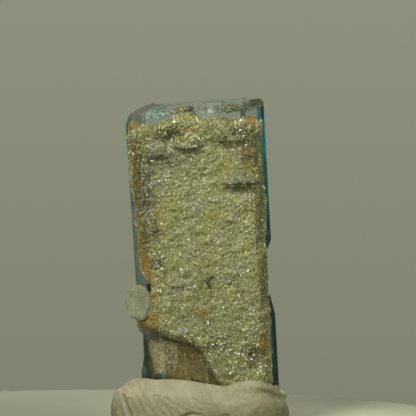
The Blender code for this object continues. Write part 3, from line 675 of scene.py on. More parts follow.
@dataclass(frozen=True)
class ColourZone:
    """A zone of the beryl with a colour of its own: from and to across and up the prism, in millimetres."""

    across: Place
    up: Place
    tint: str
    soft: float = 0.3

    def mix(self, add: Adder, place: Socket, colour: Socket | tuple) -> Socket:
        """Lay the zone's tint over a colour.

        Args:
            add: Adds a node to the material.
            place: Coordinates in the prism's frame.
            colour: Colour outside the zone.

        Returns:
            The colour with the zone in it.
        """
        (left, right), (low, high) = self.across, self.up
        middle = Vector(((left + right) / 2, 0, (low + high) / 2)) * MM
        half = Vector(((right - left) / 2, 1e3, (high - low) / 2)) * MM
        boxed = add("Mapping", {"Vector": place, "Location": middle, "Scale": half}, vector_type="TEXTURE")
        boxed = add("VectorMath", (boxed,), operation="ABSOLUTE")
        parts = add("SeparateXYZ", (boxed,)).node.outputs
        shares = [add("MapRange", (parts[axis], 1, 1 - 2 * self.soft * MM / half[axis]),
                      interpolation_type="SMOOTHSTEP") for axis in (0, 2)]
        share = add("Math", tuple(shares), operation="MULTIPLY")
        return add("Mix", {0: share, 6: colour, 7: linear(self.tint)}, data_type="RGBA")


@dataclass(frozen=True)
class BerylFinish(Finish):
    """Aquamarine, a beryl: natural crystal faces, glassy and clear, a deeper blue along its edges and foot.

    Fine growth lines run up the prism. The blue of the body is plain absorption.
    """

    name: str = "aquamarine_natural_faces"
    ior: float = 1.577
    absorption_colour: str = "7cdcdc"
    absorption_per_mm: float = 0.04
    zones: tuple[ColourZone, ...] = (
        ColourZone((-7.0, -5.0), (16.5, 25.5), "8cc0c4"),
        ColourZone((-7.0, -4.3), (6.0, 16.5), "b6c6ac", 1.0),
        ColourZone((-7.0, -4.7), (0.0, 6.6), "58a8b8"),
        ColourZone((-7.0, -2.6), (0.0, 3.1), "2a6478", 0.4),
        ColourZone((-7.0, -2.0), (24.9, 27.0), "b4d8d0"),
        ColourZone((5.1, 7.0), (0.0, 25.2), "1c92b4", 0.15),
        ColourZone((4.35, 6.2), (24.7, 26.6), "59624a"),
        ColourZone((4.8, 7.0), (-1.0, 1.8), "6aa0ac", 0.15))
    chip: Point = (1.15, -3.5, 25.35)
    chip_reach: float = 1.5
    line_width: float = 0.12

    def look(self, add: Adder) -> dict[str, object]:
        """Clear crystal with tinted zones, growth lines and plain volume absorption.

        Args:
            add: Adds a node to the material.

        Returns:
            Values and sockets for the shader's inputs.
        """
        upright = upright_place(add)
        wander = add("TexNoise", {"Vector": upright, "Scale": 1.1 / MM, "Detail": 3})
        shift = add("VectorMath", (wander.node.outputs["Color"], (0.5,) * 3), operation="SUBTRACT")
        place = add("VectorMath", (shift, (0.5 * MM,) * 3, upright), operation="MULTIPLY_ADD")
        colour = linear("ffffff")
        for zone in self.zones:
            colour = zone.mix(add, place, colour)
        # The chip is a conchoidal break, silkier than the grown faces.
        near = add("VectorMath", (upright, Vector(self.chip) * MM), operation="DISTANCE")
        rough = add("MapRange", (near, self.chip_reach * MM, (self.chip_reach - 0.3) * MM, 0.02, 0.5))
        drawn = add("Mapping", {"Vector": upright, "Scale": (1, 1, 0.02)})
        lines = add("TexNoise", {"Vector": drawn, "Scale": 1 / (self.line_width * MM), "Detail": 2})
        bump = add("Bump", {"Height": lines, "Strength": 0.04, "Distance": 0.01 * MM})
        volume = add("VolumeAbsorption", {
            "Color": linear(self.absorption_colour), "Density": self.absorption_per_mm / MM})
        return {"Transmission Weight": 1.0, "IOR": self.ior, "Roughness": rough, "Base Color": colour,
                "Normal": bump, "Volume": volume}


@dataclass(frozen=True)
class UndersideFinish(Finish):
    """The underside of a muscovite coat, grown flat against the beryl: pearly, brown near the foot, and
    painted paler than the mica is, as painted light for what the crystal keeps from it.
    """

    name: str = "muscovite_grown_underside"
    # These colours are painted paler than the mica's own, as painted light that the crystal keeps from the
    # underside.
    pearl: str = "dfe2cf"
    brown: str = "c08c3e"
    olive: str = "a08c4c"
    tuft: str = "f0eab2"
    shadow: str = "3c4330"
    stain: tuple[Point, Point] = ((-1.6, 0.0, 3.4), (4.6, 9.0, 4.2))
    tuft_spot: tuple[Point, Point] = ((-4.4, 2.8, 4.4), (1.1, 2.0, 1.3))
    dark_spot: tuple[Point, Point] = ((4.6, 2.8, 24.6), (1.4, 2.0, 1.5))

    def look(self, add: Adder) -> dict[str, object]:
        """Pearly mica with a brown stain, one pale tuft, one dark patch and faint upright streaks.

        Args:
            add: Adds a node to the material.

        Returns:
            Values and sockets for the shader's inputs.
        """
        upright = upright_place(add)
        clouds = add("TexNoise", {"Vector": upright, "Scale": 0.8 / MM, "Detail": 5, "Roughness": 0.65})
        drawn = add("Mapping", {"Vector": upright, "Scale": (1, 1, 0.08)})
        streaks = add("TexNoise", {"Vector": drawn, "Scale": 3.5 / MM, "Detail": 3})
        mixed = add("Mix", {0: 0.4, 2: clouds, 3: streaks})
        stained = shades_of(add, mixed, ((0.36, self.brown), (0.6, self.olive)))
        colour = linear(self.pearl)
        for (middle, reach), tint, start, end in (
                (self.stain, stained, 0.6, 0.8), (self.tuft_spot, linear(self.tuft), 0.75, 1.1),
                (self.dark_spot, linear(self.shadow), 0.7, 1.0)):
            near = add("Mapping", {"Vector": upright, "Location": Vector(middle) * MM,
                                   "Scale": Vector(reach) * MM}, vector_type="TEXTURE")
            ball = add("TexGradient", (near,), gradient_type="SPHERICAL").node.outputs["Fac"]
            ball = add("Math", (clouds, 1.0, ball), operation="MULTIPLY_ADD")
            share = add("MapRange", (ball, start, end))
            colour = add("Mix", {0: share, 6: colour, 7: tint}, data_type="RGBA")
        bump = add("Bump", {"Height": clouds, "Strength": 0.6, "Distance": 0.1 * MM})
        return {"Base Color": colour, "Roughness": 0.55, "Normal": bump}


@dataclass(frozen=True)
class SheetFinish(Finish):
    """A single muscovite sheet: pale, translucent and pearly, with faint clouds and cleavage lines."""

    name: str = "muscovite_cleavage_sheet"
    pale: str = "a0a486"
    cloud: str = "74775a"

    def look(self, add: Adder) -> dict[str, object]:
        """Translucent mica.

        Args:
            add: Adds a node to the material.

        Returns:
            Values and sockets for the shader's inputs.
        """
        place = add("TexCoord").node.outputs["Object"]
        clouds, mottle = (add("TexNoise", {"Vector": place, "Scale": per_mm / MM, "Detail": detail})
                          for per_mm, detail in ((1.1, 4), (6, 3)))
        mixed = add("Mix", {0: 0.5, 2: clouds, 3: mottle})
        blend = add("MapRange", (mixed, 0.38, 0.62))
        colour = add("Mix", {0: blend, 6: linear(self.pale), 7: linear(self.cloud)}, data_type="RGBA")
        bump = add("Bump", {"Height": clouds, "Strength": 0.3, "Distance": 0.03 * MM})
        return {"Base Color": colour, "Transmission Weight": 0.5, "IOR": MICA_IOR, "Roughness": 0.36,
                "Normal": bump}


@dataclass(frozen=True)
class SchorlFinish(Finish):
    """Schorl, black tourmaline: natural faces, black and glassy, ribbed along the needle."""

    name: str = "schorl_natural_faces"
    black: str = "0b0b09"
    brown: str = "1e180e"

    def look(self, add: Adder) -> dict[str, object]:
        """Black glassy mineral.

        Args:
            add: Adds a node to the material.

        Returns:
            Values and sockets for the shader's inputs.
        """
        place = add("TexCoord").node.outputs["Object"]
        ribs = add("TexNoise", {"Vector": place, "Scale": 9 / MM, "Detail": 2})
        colour = add("Mix", {0: ribs, 6: linear(self.black), 7: linear(self.brown)}, data_type="RGBA")
        bump = add("Bump", {"Height": ribs, "Strength": 0.5, "Distance": 0.02 * MM})
        return {"Base Color": colour, "Roughness": 0.45, "IOR": 1.5, "Normal": bump}


@dataclass(frozen=True)
class PuttyFinish(Finish):
    """Mineral putty: oily beige clay pressed by hand, matt, with a fine grain and darker in its creases."""

    name: str = "mineral_putty_pressed"
    light: str = "837e60"
    dull: str = "625f42"
    crease: str = "4a462c"

    def look(self, add: Adder) -> dict[str, object]:
        """Blotchy clay, darker near its foot as painted shade, with the skin lines of the fingers that
        pressed it.

        Args:
            add: Adds a node to the material.

        Returns:
            Values and sockets for the shader's inputs.
        """
        place = add("TexCoord").node.outputs["Object"]
        blotches, grain = (
            add("TexNoise", {"Vector": place, "Scale": per_mm / MM, "Detail": 5, "Roughness": rough})
            for per_mm, rough in ((0.5, 0.65), (5, 0.75)))
        height = add("SeparateXYZ", (place,)).node.outputs["Z"]
        # low is painted shade: the roll darkens towards its foot, where less light falls.
        blend, mottle, low = (add("MapRange", row) for row in (
            (blotches, 0.35, 0.65), (grain, 0.3, 0.7), (height, 3.2 * MM, 1.2 * MM, 0, 0.45)))
        blend = add("Mix", {0: 0.4, 2: blend, 3: mottle})
        blend = add("Math", (blend, low), operation="ADD", use_clamp=True)
        crease = add("Attribute", attribute_name="crease").node.outputs["Fac"]
        crease = add("Math", (crease, 0.7), operation="MULTIPLY", use_clamp=True)
        colour = linear(self.light)
        for share, tint in ((blend, self.dull), (crease, self.crease)):
            colour = add("Mix", {0: share, 6: colour, 7: linear(tint)}, data_type="RGBA")
        turned = add("Mapping", {"Vector": place, "Rotation": (0, math.radians(35), 0)})
        prints = add("TexWave", {"Vector": turned, "Scale": 0.55 / MM, "Distortion": 5, "Detail": 1,
                                 "Detail Scale": 0.35}).node.outputs["Fac"]
        relief = add("Math", (prints, 0.35, grain), operation="MULTIPLY_ADD")
        bump = add("Bump", {"Height": relief, "Strength": 0.9, "Distance": 0.09 * MM})
        return {"Base Color": colour, "Roughness": 0.62, "IOR": 1.48, "Normal": bump}


@dataclass(frozen=True)
class CrumbFinish(Finish):
    """Crumbs of mica and iron oxide stuck in the putty, matt and of one mineral each."""

    tint: str

    def look(self, add: Adder) -> dict[str, object]:
        """Matt mineral with a fine mottle.

        Args:
            add: Adds a node to the material.

        Returns:
            Values and sockets for the shader's inputs.
        """
        place = add("TexCoord").node.outputs["Object"]
        mottle = add("TexNoise", {"Vector": place, "Scale": 12 / MM, "Detail": 2})
        light = linear(self.tint)
        dull = (*(0.55 * part for part in light[:3]), 1.0)
        colour = add("Mix", {0: mottle, 6: light, 7: dull}, data_type="RGBA")
        return {"Base Color": colour, "Roughness": 0.5}


@dataclass(frozen=True)
class FlakeSize:
    """Sizes of one crop of mica flakes, in millimetres, and how they stand."""

    per_mm2: float
    radius: float
    thickness: float
    spread: float
    sides: int
    seed: int

    @property
    def inputs(self) -> dict[str, float]:
        """Values for the inputs of the flake tree, by name.

        Returns:
            The values, in metres and radians.
        """
        return {"Flakes per m2": self.per_mm2 / MM ** 2, "Radius": self.radius * MM,
                "Thickness": self.thickness * MM, "Spread": self.spread, "Sides": self.sides,
                "Seed": self.seed}


def flake_tree(material: bpy.types.Material) -> Tree:
    """Geometry Nodes that grow thin mica flakes out of a coat.

    The number, radius, thickness, spread of the tilt, sides of a flake and seed are inputs of the tree.

    Args:
        material: Material of the flakes.

    Returns:
        The tree, which ends in Realize Instances and Set Material.
    """
    tree = bpy.data.node_groups.new("mica_flakes", "GeometryNodeTree")
    for name in ("Geometry", "Flakes per m2", "Radius", "Thickness", "Spread", "Sides", "Seed"):
        kind = {"Geometry": "Geometry", "Sides": "Int", "Seed": "Int"}.get(name, "Float")
        tree.interface.new_socket(name, in_out="INPUT", socket_type="NodeSocket" + kind)
    tree.interface.new_socket("Geometry", in_out="OUTPUT", socket_type="NodeSocketGeometry")
    add = partial(add_node, tree)
    given = add("NodeGroupInput").node.outputs
    cover, coarse = (add("GeometryNodeInputNamedAttribute", {"Name": name}, data_type="FLOAT")
                     for name in ("cover", "coarse"))
    density = add("Math", (given["Flakes per m2"], cover), operation="MULTIPLY")
    points = add("GeometryNodeDistributePointsOnFaces", {
        "Mesh": given["Geometry"], "Density": density, "Seed": given["Seed"]}, distribute_method="RANDOM")
    lean = add("Math", (given["Spread"], -1.0), operation="MULTIPLY")
    low, high = (add("CombineXYZ", (tilt, tilt, turn))
                 for tilt, turn in ((lean, -math.pi), (given["Spread"], math.pi)))
    angles = add("FunctionNodeRandomValue", {0: low, 1: high, "Seed": given["Seed"]},
                 data_type="FLOAT_VECTOR")
    turned = add("FunctionNodeRotateRotation", (
        points.node.outputs["Rotation"], add("FunctionNodeEulerToRotation", (angles,))),
        rotation_space="LOCAL")
    size = add("FunctionNodeRandomValue", {0: (0.55, 0.4, 0.7), 1: (1.25, 1.1, 1.3), "Seed": 5},
               data_type="FLOAT_VECTOR")
    grown = add("Math", (coarse, 0.9, 1.0), operation="MULTIPLY_ADD")
    scale = add("VectorMath", {0: size, "Scale": grown}, operation="SCALE")
    flake = add("GeometryNodeMeshCylinder", {
        "Vertices": given["Sides"], "Radius": given["Radius"], "Depth": given["Thickness"]}, fill_type="NGON")
    flakes = add("GeometryNodeInstanceOnPoints", {
        "Points": points, "Instance": flake, "Rotation": turned, "Scale": scale})
    tone = add("FunctionNodeRandomValue", {2: 0.0, 3: 1.0, "Seed": 9}, data_type="FLOAT")
    toned = add("GeometryNodeStoreNamedAttribute", {"Geometry": flakes, "Name": "tone", "Value": tone},
                data_type="FLOAT", domain="INSTANCE")
    real = add("GeometryNodeRealizeInstances", (toned,))
    dressed = add("GeometryNodeSetMaterial", {"Geometry": real, "Material": material})
    add("NodeGroupOutput", (dressed,))
    return tree


@dataclass
class MuscoviteCoat:
    """One coat of muscovite: a closed, knobbly bed and the crops of flakes that glitter on it."""

    shape: CoatShape
    tints: Tints
    bed_finish: MicaFinish
    flake_finish: MicaFinish
    crops: tuple[FlakeSize, ...]
    under_finish: UndersideFinish = UndersideFinish()
    grain: tuple[Place, ...] = ((5.0, 0.025), (11.0, 0.03))
    lumps: tuple[Place, ...] = ((1.9, 0.13), (3.9, 0.09))
    # Thinner than hollow, the coat takes more painted shade; where painted shade is, fewer flakes grow.
    hollow: float = 0.36
    bare_where_painted_shade: float = 0.45
    bed_tone: float = 0.35

    def build(self) -> None:
        """Make the bed, and grow each crop of flakes on it as a plain mesh."""
        bed = self.make_bed()
        tree = flake_tree(self.flake_finish.build())
        for number, crop in enumerate(self.crops, 1):
            modifier = bed.modifiers.new("flakes", "NODES")
            modifier.node_group = tree
            for item in tree.interface.items_tree:
                if item.in_out == "INPUT" and item.name in crop.inputs:
                    modifier[item.identifier] = crop.inputs[item.name]
            mesh = bpy.data.meshes.new_from_object(bed.evaluated_get(bpy.context.evaluated_depsgraph_get()))
            bed.modifiers.remove(modifier)
            mesh.name = f"{self.shape.name}_flakes_{number}"
            add_piece(mesh, (), DRUSE)

    def make_bed(self) -> Piece:
        """Make the closed bed of the coat, with its rim folded onto three flat faces against the prism.

        Returns:
            The bed, with its colour and growth attributes.
        """
        girth, height, thickness = self.shape.grid()
        fine = self.relief(self.grain, girth, height, self.shape.seed)
        coarse = np.clip(spots_at(self.tints.coarse, girth, height), 0, 1)
        fine += coarse * self.relief(self.lumps, girth, height, 7.7)
        thickness = thickness + fine * smooth((thickness - self.shape.rim) / 0.2)
        outer, inner = (PRISM.point(girth, height, proud, self.shape.facing)
                        for proud in (GAP + thickness, GAP))
        rows, columns = girth.shape
        number = np.arange(girth.size).reshape(rows, columns)
        loop = np.concatenate([number[0, :-1], number[:-1, -1], number[-1, :0:-1], number[:0:-1, 0]])
        below = girth.size + np.arange(len(loop))
        skirt = np.stack([loop, below, np.roll(below, -1), np.roll(loop, -1)], -1)
        corner, far_corner = np.cumsum(self.shape.columns[:2])
        back, far_back = 2 * columns + rows - 3 - corner, 2 * columns + rows - 3 - far_corner
        ring = below.tolist()
        under = [ring[back:] + ring[:corner + 1], ring[corner:far_corner + 1] + ring[far_back:back + 1],
                 ring[far_corner:far_back + 1]]
        values = {name: np.append(grid, grid.ravel()[loop] if name != "cover" else 0 * loop)
                  for name, grid in self.attributes(girth, height, thickness, coarse).items()}
        points = np.concatenate([outer.reshape(-1, 3), inner.reshape(-1, 3)[loop]])
        mesh = closed_mesh(self.shape.name + "_bed", points, quads_of(number) + skirt.tolist() + under,
                           **values)
        for face in mesh.polygons[-len(under):]:
            face.material_index = 1
        return add_piece(mesh, (self.bed_finish, self.under_finish), DRUSE, self.shape.name)

    @staticmethod
    def relief(layers: tuple[Place, ...], girth: Grid, height: Grid, seed: float) -> Grid:
        """Sum of layers of noise, each with its knobs per millimetre and its depth."""
        return sum(depth * noise_at(girth * scale, height * scale, seed) for scale, depth in layers)

    def attributes(self, girth: Grid, height: Grid, thickness: Grid, coarse: Grid) -> dict[str, Grid]:
        """Colour and growth values at each knot of the grid.

        Args:
            girth: Ways round the prism.
            height: Heights above its foot.
            thickness: Thickness of the coat.
            coarse: How coarse the flakes are.

        Returns:
            The value grids, by attribute name.
        """
        spread = noise_at(girth * 1.6, height * 1.6, self.shape.seed + 4, 3)
        speckle = noise_at(girth * 5.0, height * 5.0, self.shape.seed + 8)
        rust, gold, deep = (spots_at(spots, girth, height)
                            for spots in (self.tints.rust, self.tints.gold, self.tints.deep))
        # Painted shade: the listed spots, speckled, and more where the coat is thin.
        deep = deep * (0.9 + 0.5 * speckle)
        deep += smooth((self.hollow - thickness) / 0.25) * 0.35
        deep = np.clip(deep, 0, 1)
        rust = rust * (0.9 + 0.8 * speckle) + 0.08 * np.clip(spread, 0, 1)
        return {"rust": np.clip(rust, 0, 1), "gold": np.clip(gold + 0.25 * spread, 0, 1), "deep": deep,
                "coarse": coarse, "tone": np.full_like(girth, self.bed_tone),
                "cover": 1 - self.bare_where_painted_shade * deep}


@dataclass
class PuttyRoll:
    """The roll of mineral putty: the solid's loft with finger ridges, creases and a folded lump."""

    half_length: float = 7.65
    half_depth: float = 5.4
    squareness: float = 2.5
    columns: int = 396
    coat_room: float = 0.85
    back_ridge: float = 3.55
    end_drop: float = 0.8
    ridge: tuple[Place, ...] = (
        (-7.4, 4.3), (-6.8, 4.34), (-5.9, 4.26), (-4.6, 4.32), (-2.0, 4.38), (-0.8, 4.3), (0.45, 4.06),
        (1.3, 3.94), (2.15, 3.88), (3.4, 4.26), (4.25, 4.35), (5.3, 4.2), (6.0, 4.05), (6.4, 3.78),
        (6.85, 3.36), (7.4, 3.1))
    outside: tuple[Place, ...] = ((1.0, 0.0), (0.42, 0.045), (0.1, 0.18), (0.0, 0.38), (0.1, 0.58),
                                  (0.38, 0.76))
    over: tuple[Place, ...] = ((0.34, 0.88), (0.46, 0.955), (0.6, 1.0), (0.74, 0.99), (0.87, 0.94),
                               (0.95, 0.86))
    ridge_period: float = 0.5
    steps: tuple[int, ...] = (4, 10, 12, 12, 10, 9, 8, 8, 8, 8, 6, 4, 3, 3)
    ridge_depth: float = 0.014
    skin_inset: float = 0.075
    socket_top: float = 1.6
    thumb: tuple[float, float, float, float] = (5.8, 2.3, 0.7, 0.12)
    end_cap: tuple[Place, ...] = ((5.7, 9.0), (6.1, 3.85), (6.84, 3.42), (7.3, 3.0), (7.65, 2.6))
    marks: tuple[tuple[tuple[Place, ...], float, float], ...] = (
        (((-6.5, 2.95), (-6.3, 2.45), (-6.1, 1.9), (-5.85, 1.3), (-5.6, 0.7)), 0.12, 0.2),
        (((-6.72, 2.9), (-6.55, 2.3), (-6.3, 1.6), (-6.1, 1.0)), 0.13, -0.1),
        (((-6.1, 2.85), (-5.75, 2.98), (-5.6, 2.9)), 0.1, -0.09),
        (((-3.9, 3.12), (-3.7, 3.22), (-3.5, 3.16)), 0.05, 0.07), (((-3.55, 3.1), (-3.3, 3.18)), 0.04, 0.05),
        (((-1.45, 1.25), (-1.1, 1.55), (-0.6, 1.72), (-0.1, 1.6), (0.25, 1.3)), 0.09, 0.16),
        (((-1.0, 0.9), (-0.55, 1.2), (-0.1, 0.95)), 0.28, -0.1),
        (((-3.4, 2.9), (-2.4, 2.2), (-1.5, 1.5)), 0.06, 0.018),
        (((-2.9, 3.1), (-1.8, 2.4), (-0.7, 1.9)), 0.06, 0.015),
        (((-1.5, 2.8), (-0.8, 2.3), (0.3, 2.1)), 0.05, 0.015),
        (((-0.6, 3.1), (0.1, 2.6), (0.9, 2.5)), 0.05, 0.015),
        (((2.6, 3.3), (3.3, 3.2)), 0.3, -0.04),
        (((1.9, 1.5), (2.3, 1.6), (2.5, 1.5)), 0.08, 0.06),
    )
    finish: PuttyFinish = PuttyFinish()

    def build(self) -> Piece:
        """Make the roll and ride it on the part.

        Returns:
            The roll.
        """
        girth, facing = self.section()
        reach = PRISM.broad_half + 0.75 * PRISM.side_width
        start = np.where(facing < 0, smooth((girth - 0.2) / 0.8), 1.0)
        room = self.coat_room * smooth((reach - np.abs(girth)) / 1.2) * start
        room = np.where(np.abs(girth) > reach, 0.0, room)
        rings, crease = self.press(self.loft(girth, facing, room))
        return add_piece(loft_mesh("mounting_putty_roll", rings, crease=crease), (self.finish,), PUTTY,
                         "mounting_putty")

    def section(self) -> tuple[Grid, Grid]:
        """Girth and facing of each column round the socket.

        Returns:
            Ways round the prism's section, and the sign of Y of the broad face.
        """
        broad = self.columns * 5 // 18
        side = (self.columns - 2 * broad) // 4
        along, beside = np.arange(broad) / broad, np.arange(side) / side
        half, width = PRISM.broad_half, PRISM.side_width
        girth = np.concatenate([
            half * (1 - 2 * along), -half - width * beside, -half - width * (1 - beside),
            -half * (1 - 2 * along), half + width * beside, half + width * (1 - beside)])
        return girth, np.repeat([1.0, -1.0, 1.0], [broad + side, side + broad + side, side])

    @staticmethod
    def socket(girth: Grid, facing: Grid, height: float, room: Grid) -> Grid:
        """Points of the socket's wall at a height above the prism's foot."""
        front, back = (PRISM.point(girth, np.full_like(girth, height), GAP + room, side) for side in Facing)
        return np.where(facing[:, None] < 0, front, back)

    def plan(self, edge: Grid) -> Grid:
        """Outline of the roll seen from above, one point for each column.

        Args:
            edge: Points of the socket's top edge.

        Returns:
            Places in X and Y, in millimetres.
        """
        angle = np.arctan2(edge[:, 1] * 1.15 / self.half_depth,
                           (edge[:, 0] - PRISM.foot[0] * 0.5) / self.half_length)
        power = 2 / self.squareness
        x, y = (half * np.copysign(np.abs(way) ** power, way)
                for half, way in ((self.half_length, np.cos(angle)), (self.half_depth, np.sin(angle))))
        uneven = np.minimum(1 + 0.02 * noise_at(x * 0.4, y * 0.4, 8.0), 1.0)
        return np.stack([x * uneven, y * uneven], -1)

    def ridge_height(self, x: Grid, y: Grid) -> Grid:
        """Height of the roll's ridge over places in its plan.

        Args:
            x: Places across.
            y: Places in depth.

        Returns:
            The heights, in millimetres.
        """
        behind = smooth(0.5 + y / 4)
        level = self.back_ridge + 0.25 * noise_at(x * 0.35, 5.0, 1.0)
        level = level - self.end_drop * smooth((np.abs(x) - 5.6) / 1.8)
        front = line_through(self.ridge, x)
        return (1 - behind) * front + behind * level + 0.08 * noise_at(x * 0.5, y * 0.5, 2.0)

    def loft(self, girth: Grid, facing: Grid, room: Grid) -> Grid:
        """Rings of the roll, from its flat foot over its ridge and down the socket.

        Args:
            girth: Way round the section of each column.
            facing: Broad face of each column, as a sign.
            room: Room that the socket leaves for the muscovite coats.

        Returns:
            Points as rings, columns and coordinates, in millimetres.
        """
        edge = self.socket(girth, facing, self.socket_top, room)
        plan = self.plan(edge)
        outwards = plan / np.linalg.norm(plan, axis=1, keepdims=True)
        places = [(plan - outwards * inset, rise) for inset, rise in self.outside]
        places += [(plan + (edge[:, :2] - plan) * part, rise) for part, rise in self.over]
        controls = [np.column_stack([place, self.ridge_height(*place.T) * rise]) for place, rise in places]
        controls += [self.socket(girth, facing, height, room * share)
                     for height, share in ((1.45, 1.0), (0.7, 0.5), (-GAP, 0.0))]
        return self.spline(np.stack(controls))

    def spline(self, controls: Grid) -> Grid:
        """Smooth rings through the control rings, with the foot and the socket left straight.

        Args:
            controls: Control rings, from the foot to the socket's floor.

        Returns:
            The finer rings.
        """
        rings = []
        last = len(controls) - 1
        for k, count in enumerate(self.steps):
            p0, p1, p2, p3 = controls[[max(k - 1, 0), k, k + 1, min(k + 2, last)]]
            for t in np.linspace(0, 1, count, endpoint=False):
                if k == 0 or k >= last - 3:
                    rings.append(p1 + (p2 - p1) * t)
                else:
                    curve = 2 * p1 + (p2 - p0) * t + (2 * p0 - 5 * p1 + 4 * p2 - p3) * t ** 2
                    rings.append(0.5 * (curve + (3 * p1 - p0 - 3 * p2 + p3) * t ** 3))
        return np.stack([*rings, controls[-1]])

    def press(self, rings: Grid) -> tuple[Grid, Grid]:
        """Press finger ridges, creases and dents into the outside of the roll.

        Args:
            rings: Points of the roll.

        Returns:
            The pressed points, and how deep in a crease each is.
        """
        along = np.roll(rings, -1, 1) - np.roll(rings, 1, 1)
        normal = np.cross(along, np.gradient(rings, axis=0))
        normal /= np.maximum(np.linalg.norm(normal, axis=-1, keepdims=True), 1e-9)
        x, y, z = np.moveaxis(rings, -1, 0)
        outer = smooth((np.hypot(x / 7.0, y / 4.6) - 0.66) / 0.15)
        rank = np.arange(len(rings))[:, None] / len(rings)
        skin = smooth((z - 0.25) / 0.6) * outer * smooth((0.84 - rank) / 0.3)
        wave = noise_at(x * 0.35, z * 0.35, 3.0)
        ridges = np.sin(math.tau / self.ridge_period * (0.92 * x + 0.5 * z + 1.1 * wave))
        patch = smooth(0.5 + 1.6 * noise_at(x * 0.3 + 9, z * 0.5, y * 0.2 + 1.0))
        lumps = 0.09 * noise_at(x * 0.7, y * 0.7, z * 0.9) + 0.03 * noise_at(x * 2.2, y * 2.2, z * 2.4)
        crumbs = 0.02 * noise_at(x * 4.5, y * 4.5, z * 4.5) * smooth((np.abs(x + 0.3) - 5.6) / 1.0)
        start, height, reach, depth = self.thumb
        thumb = smooth((x - start) / 1.2) * depth * np.exp(-((z - height) / reach) ** 2)
        move = skin * (lumps - self.skin_inset + self.ridge_depth * ridges * patch + crumbs + thumb)
        crease = np.zeros_like(move)
        for line, width, depth in self.marks:
            mark = np.zeros_like(move)
            for start, end in zip(line, line[1:]):
                mark = np.maximum(mark, self.mark(x, z, start, end, width) * (y < 0.5))
            move = move - depth * mark * skin
            crease = np.maximum(crease, np.sign(depth) * mark * skin)
        pressed = rings + normal * move[..., None]
        pressed[..., 2] = np.minimum(pressed[..., 2], line_through(self.end_cap, pressed[..., 0]))
        return pressed, crease

    @staticmethod
    def mark(x: Grid, z: Grid, start: Place, end: Place, width: float) -> Grid:
        """Soft mark along a line on the front of the roll.

        Args:
            x: Places across.
            z: Places upwards.
            start: One end of the line.
            end: The other end.
            width: Half width of the mark.

        Returns:
            1 on the line, falling to 0 beside it.
        """
        run = np.array(end) - np.array(start)
        share = np.clip(((x - start[0]) * run[0] + (z - start[1]) * run[1]) / (run @ run), 0, 1)
        away = np.hypot(x - start[0] - share * run[0], z - start[1] - share * run[1])
        return np.exp(-(away / width) ** 2)


@dataclass
class Crumbs:
    """Small crumbs pressed into the front of the putty: across, up, size and which finish."""

    finishes: tuple[CrumbFinish, ...] = (
        CrumbFinish("iron_oxide_crumb", "a8641e"), CrumbFinish("ochre_crumb", "b58a1e"),
        CrumbFinish("schorl_dust", "2a281c"), CrumbFinish("red_iron_oxide_crumb", "8c3a1c"))
    places: tuple[tuple[float, float, float, int], ...] = (
        (6.42, 3.33, 0.06, 0), (3.6, 2.95, 0.06, 0), (7.1, 1.85, 0.08, 1), (0.68, 2.0, 0.07, 3),
        (1.55, 2.45, 0.06, 0), (-1.2, 2.45, 0.05, 0), (-0.25, 3.38, 0.05, 2), (5.5, 3.4, 0.06, 2),
        (2.3, 1.5, 0.09, 2), (0.3, 1.95, 0.05, 2), (3.75, 2.2, 0.07, 0), (-2.9, 3.0, 0.035, 2),
        (-6.9, 3.0, 0.04, 2), (-7.1, 2.5, 0.04, 2), (-6.8, 2.1, 0.035, 2), (-1.75, 2.05, 0.05, 1),
        (-5.95, 3.05, 0.06, 1), (6.9, 2.6, 0.05, 2), (4.6, 3.1, 0.04, 0), (-4.6, 1.9, 0.035, 2))

    def build(self, roll: Piece) -> None:
        """Press the crumbs into the roll, one piece for each finish.

        Args:
            roll: The finished putty roll.
        """
        for number, finish in enumerate(self.finishes):
            bm = bmesh.new()
            for x, z, size, which in self.places:
                found, spot, normal, _ = roll.ray_cast(Vector((x, -8.0, z)) * MM, Vector((0, 1, 0)))
                if which == number and found:
                    made = bmesh.ops.create_icosphere(bm, subdivisions=1, radius=size * MM)["verts"]
                    for vertex in made:
                        vertex.co *= 1 + 0.5 * noise.noise(vertex.co / (size * MM) * 0.8 + Vector((x, z, 0)))
                    bmesh.ops.translate(bm, vec=spot - normal * size * 0.35 * MM, verts=made)
            add_piece(mesh_from(bm, bpy.data.meshes.new(finish.name)), (finish,), PUTTY)


@dataclass
class BrightFlakes:
    """Larger mica flakes, tilted to the main light and painted near white as glints: girth, height, radius
    and how far out.
    """

    places: tuple[tuple[float, float, float, float], ...]
    finish: MicaFinish
    lean_up: float = math.radians(33)
    lean_left: float = math.radians(17)
    thickness: float = 0.03
    seed: float = 3.0
    name: str = "muscovite_bright_flakes"

    def build(self) -> None:
        """Make the flakes as one piece and ride it on the part."""
        bm = bmesh.new()
        tone = bm.verts.layers.float.new("tone")
        for number, (girth, height, radius, proud) in enumerate(self.places):
            middle = Vector(PRISM.point(girth, height, proud, Facing.FRONT).tolist()) * MM
            vary = [noise.noise((number * 7.7, self.seed, k)) for k in range(3)]
            made = bmesh.ops.create_cone(bm, cap_ends=True, segments=6, radius1=radius * MM,
                                         radius2=radius * MM, depth=self.thickness * MM)["verts"]
            turn = Euler((self.lean_up + 0.35 * vary[0] - math.pi / 2, 0, -self.lean_left + 0.35 * vary[1]),
                         "XYZ")
            matrix = Matrix.Translation(middle) @ turn.to_matrix().to_4x4() @ Matrix.Diagonal(
                (1, 0.75 + 0.3 * vary[2], 1, 1))
            bmesh.ops.transform(bm, matrix=matrix, verts=made)
            # Tone 1 gives each the near-white top of the ramp: a painted glint.
            for vertex in made:
                vertex[tone] = 1.0
        add_piece(mesh_from(bm, bpy.data.meshes.new(self.name)), (self.finish,), DRUSE)


